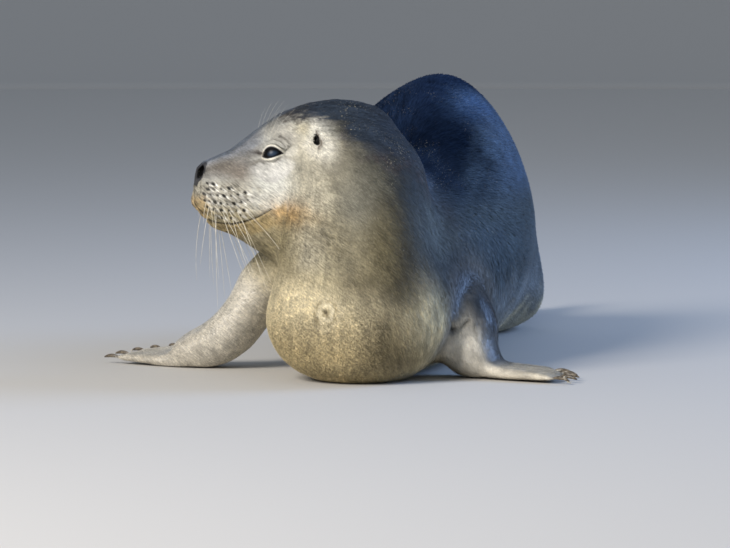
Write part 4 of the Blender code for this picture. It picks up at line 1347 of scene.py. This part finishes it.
CAMERA_FROM_EYES = Vector((1.2589, -4.9489, 0.2334))
CAMERA_TURN = math.radians(13.0)
CAMERA_DROP = math.radians(4.2423777)
CAMERA_LENS = 208.750685  # millimetres
CAMERA_FILM = 36.0
FLOOR_RADIUS = 11.0
SWEEP_RADIUS = 5.0
SWEEP_STEPS = 16
SWEEP_TURN = 75  # degrees
FLOOR_SIDES = 96

profile = [(FLOOR_RADIUS, 0.0)]
for k in range(1, SWEEP_STEPS + 1):
    angle = math.radians(SWEEP_TURN * k / SWEEP_STEPS)
    sweep = (SWEEP_RADIUS * math.sin(angle), SWEEP_RADIUS * (1 - math.cos(angle)))
    profile.append((FLOOR_RADIUS + sweep[0], sweep[1]))
turns = [2 * math.pi * k / FLOOR_SIDES for k in range(FLOOR_SIDES)]
bm = bmesh.new()
rings = []
for reach, high in profile:
    rings.append([bm.verts.new((reach * math.cos(t), reach * math.sin(t), high)) for t in turns])
bm.faces.new(rings[0])
for low, high in zip(rings, rings[1:]):
    for k in range(FLOOR_SIDES):
        n = (k + 1) % FLOOR_SIDES
        bm.faces.new((low[k], low[n], high[n], high[k])).smooth = True
floor = place_piece("floor", mesh_of(bm, "floor"))
floor_material, _, shader = new_material("pale_floor")
shader["Base Color"].default_value = linear("#c9c6c0")
shader["Roughness"].default_value = 0.8
floor.data.materials.append(floor_material)

world = bpy.data.worlds.new("studio")
bpy.context.scene.world = world
bpy.context.scene.view_settings.view_transform = "Standard"
world.use_nodes = True
sky = world.node_tree.nodes["Background"].inputs
sky["Color"].default_value = linear("#c4cfe0")
sky["Strength"].default_value = 0.5


def lamp(name, place, size, energy, colour):
    """A round soft lamp that shines on the head."""
    light = bpy.data.lights.new(name, "AREA")
    light.shape = "DISK"
    light.size = size
    light.energy = energy
    light.color = linear(colour)[:3]
    obj = bpy.data.objects.new(name, light)
    bpy.context.scene.collection.objects.link(obj)
    obj.location = place
    obj.rotation_euler = (between_eyes - Vector(place)).to_track_quat("-Z", "Y").to_euler()


lamp("key", (-1.7, -3.6, 2.4), 2.0, 192, "#fff9f2")
lamp("sky", (3.1, 1.5, 1.9), 2.4, 100, "#9cc2ff")

camera = bpy.data.cameras.new("camera")
camera.lens = CAMERA_LENS
camera.sensor_width = CAMERA_FILM
camera_stand = bpy.data.objects.new("camera", camera)
bpy.context.scene.collection.objects.link(camera_stand)
camera_stand.location = between_eyes + CAMERA_FROM_EYES
camera_stand.rotation_euler = (math.pi / 2 - CAMERA_DROP, 0.0, CAMERA_TURN)
bpy.context.scene.camera = camera_stand
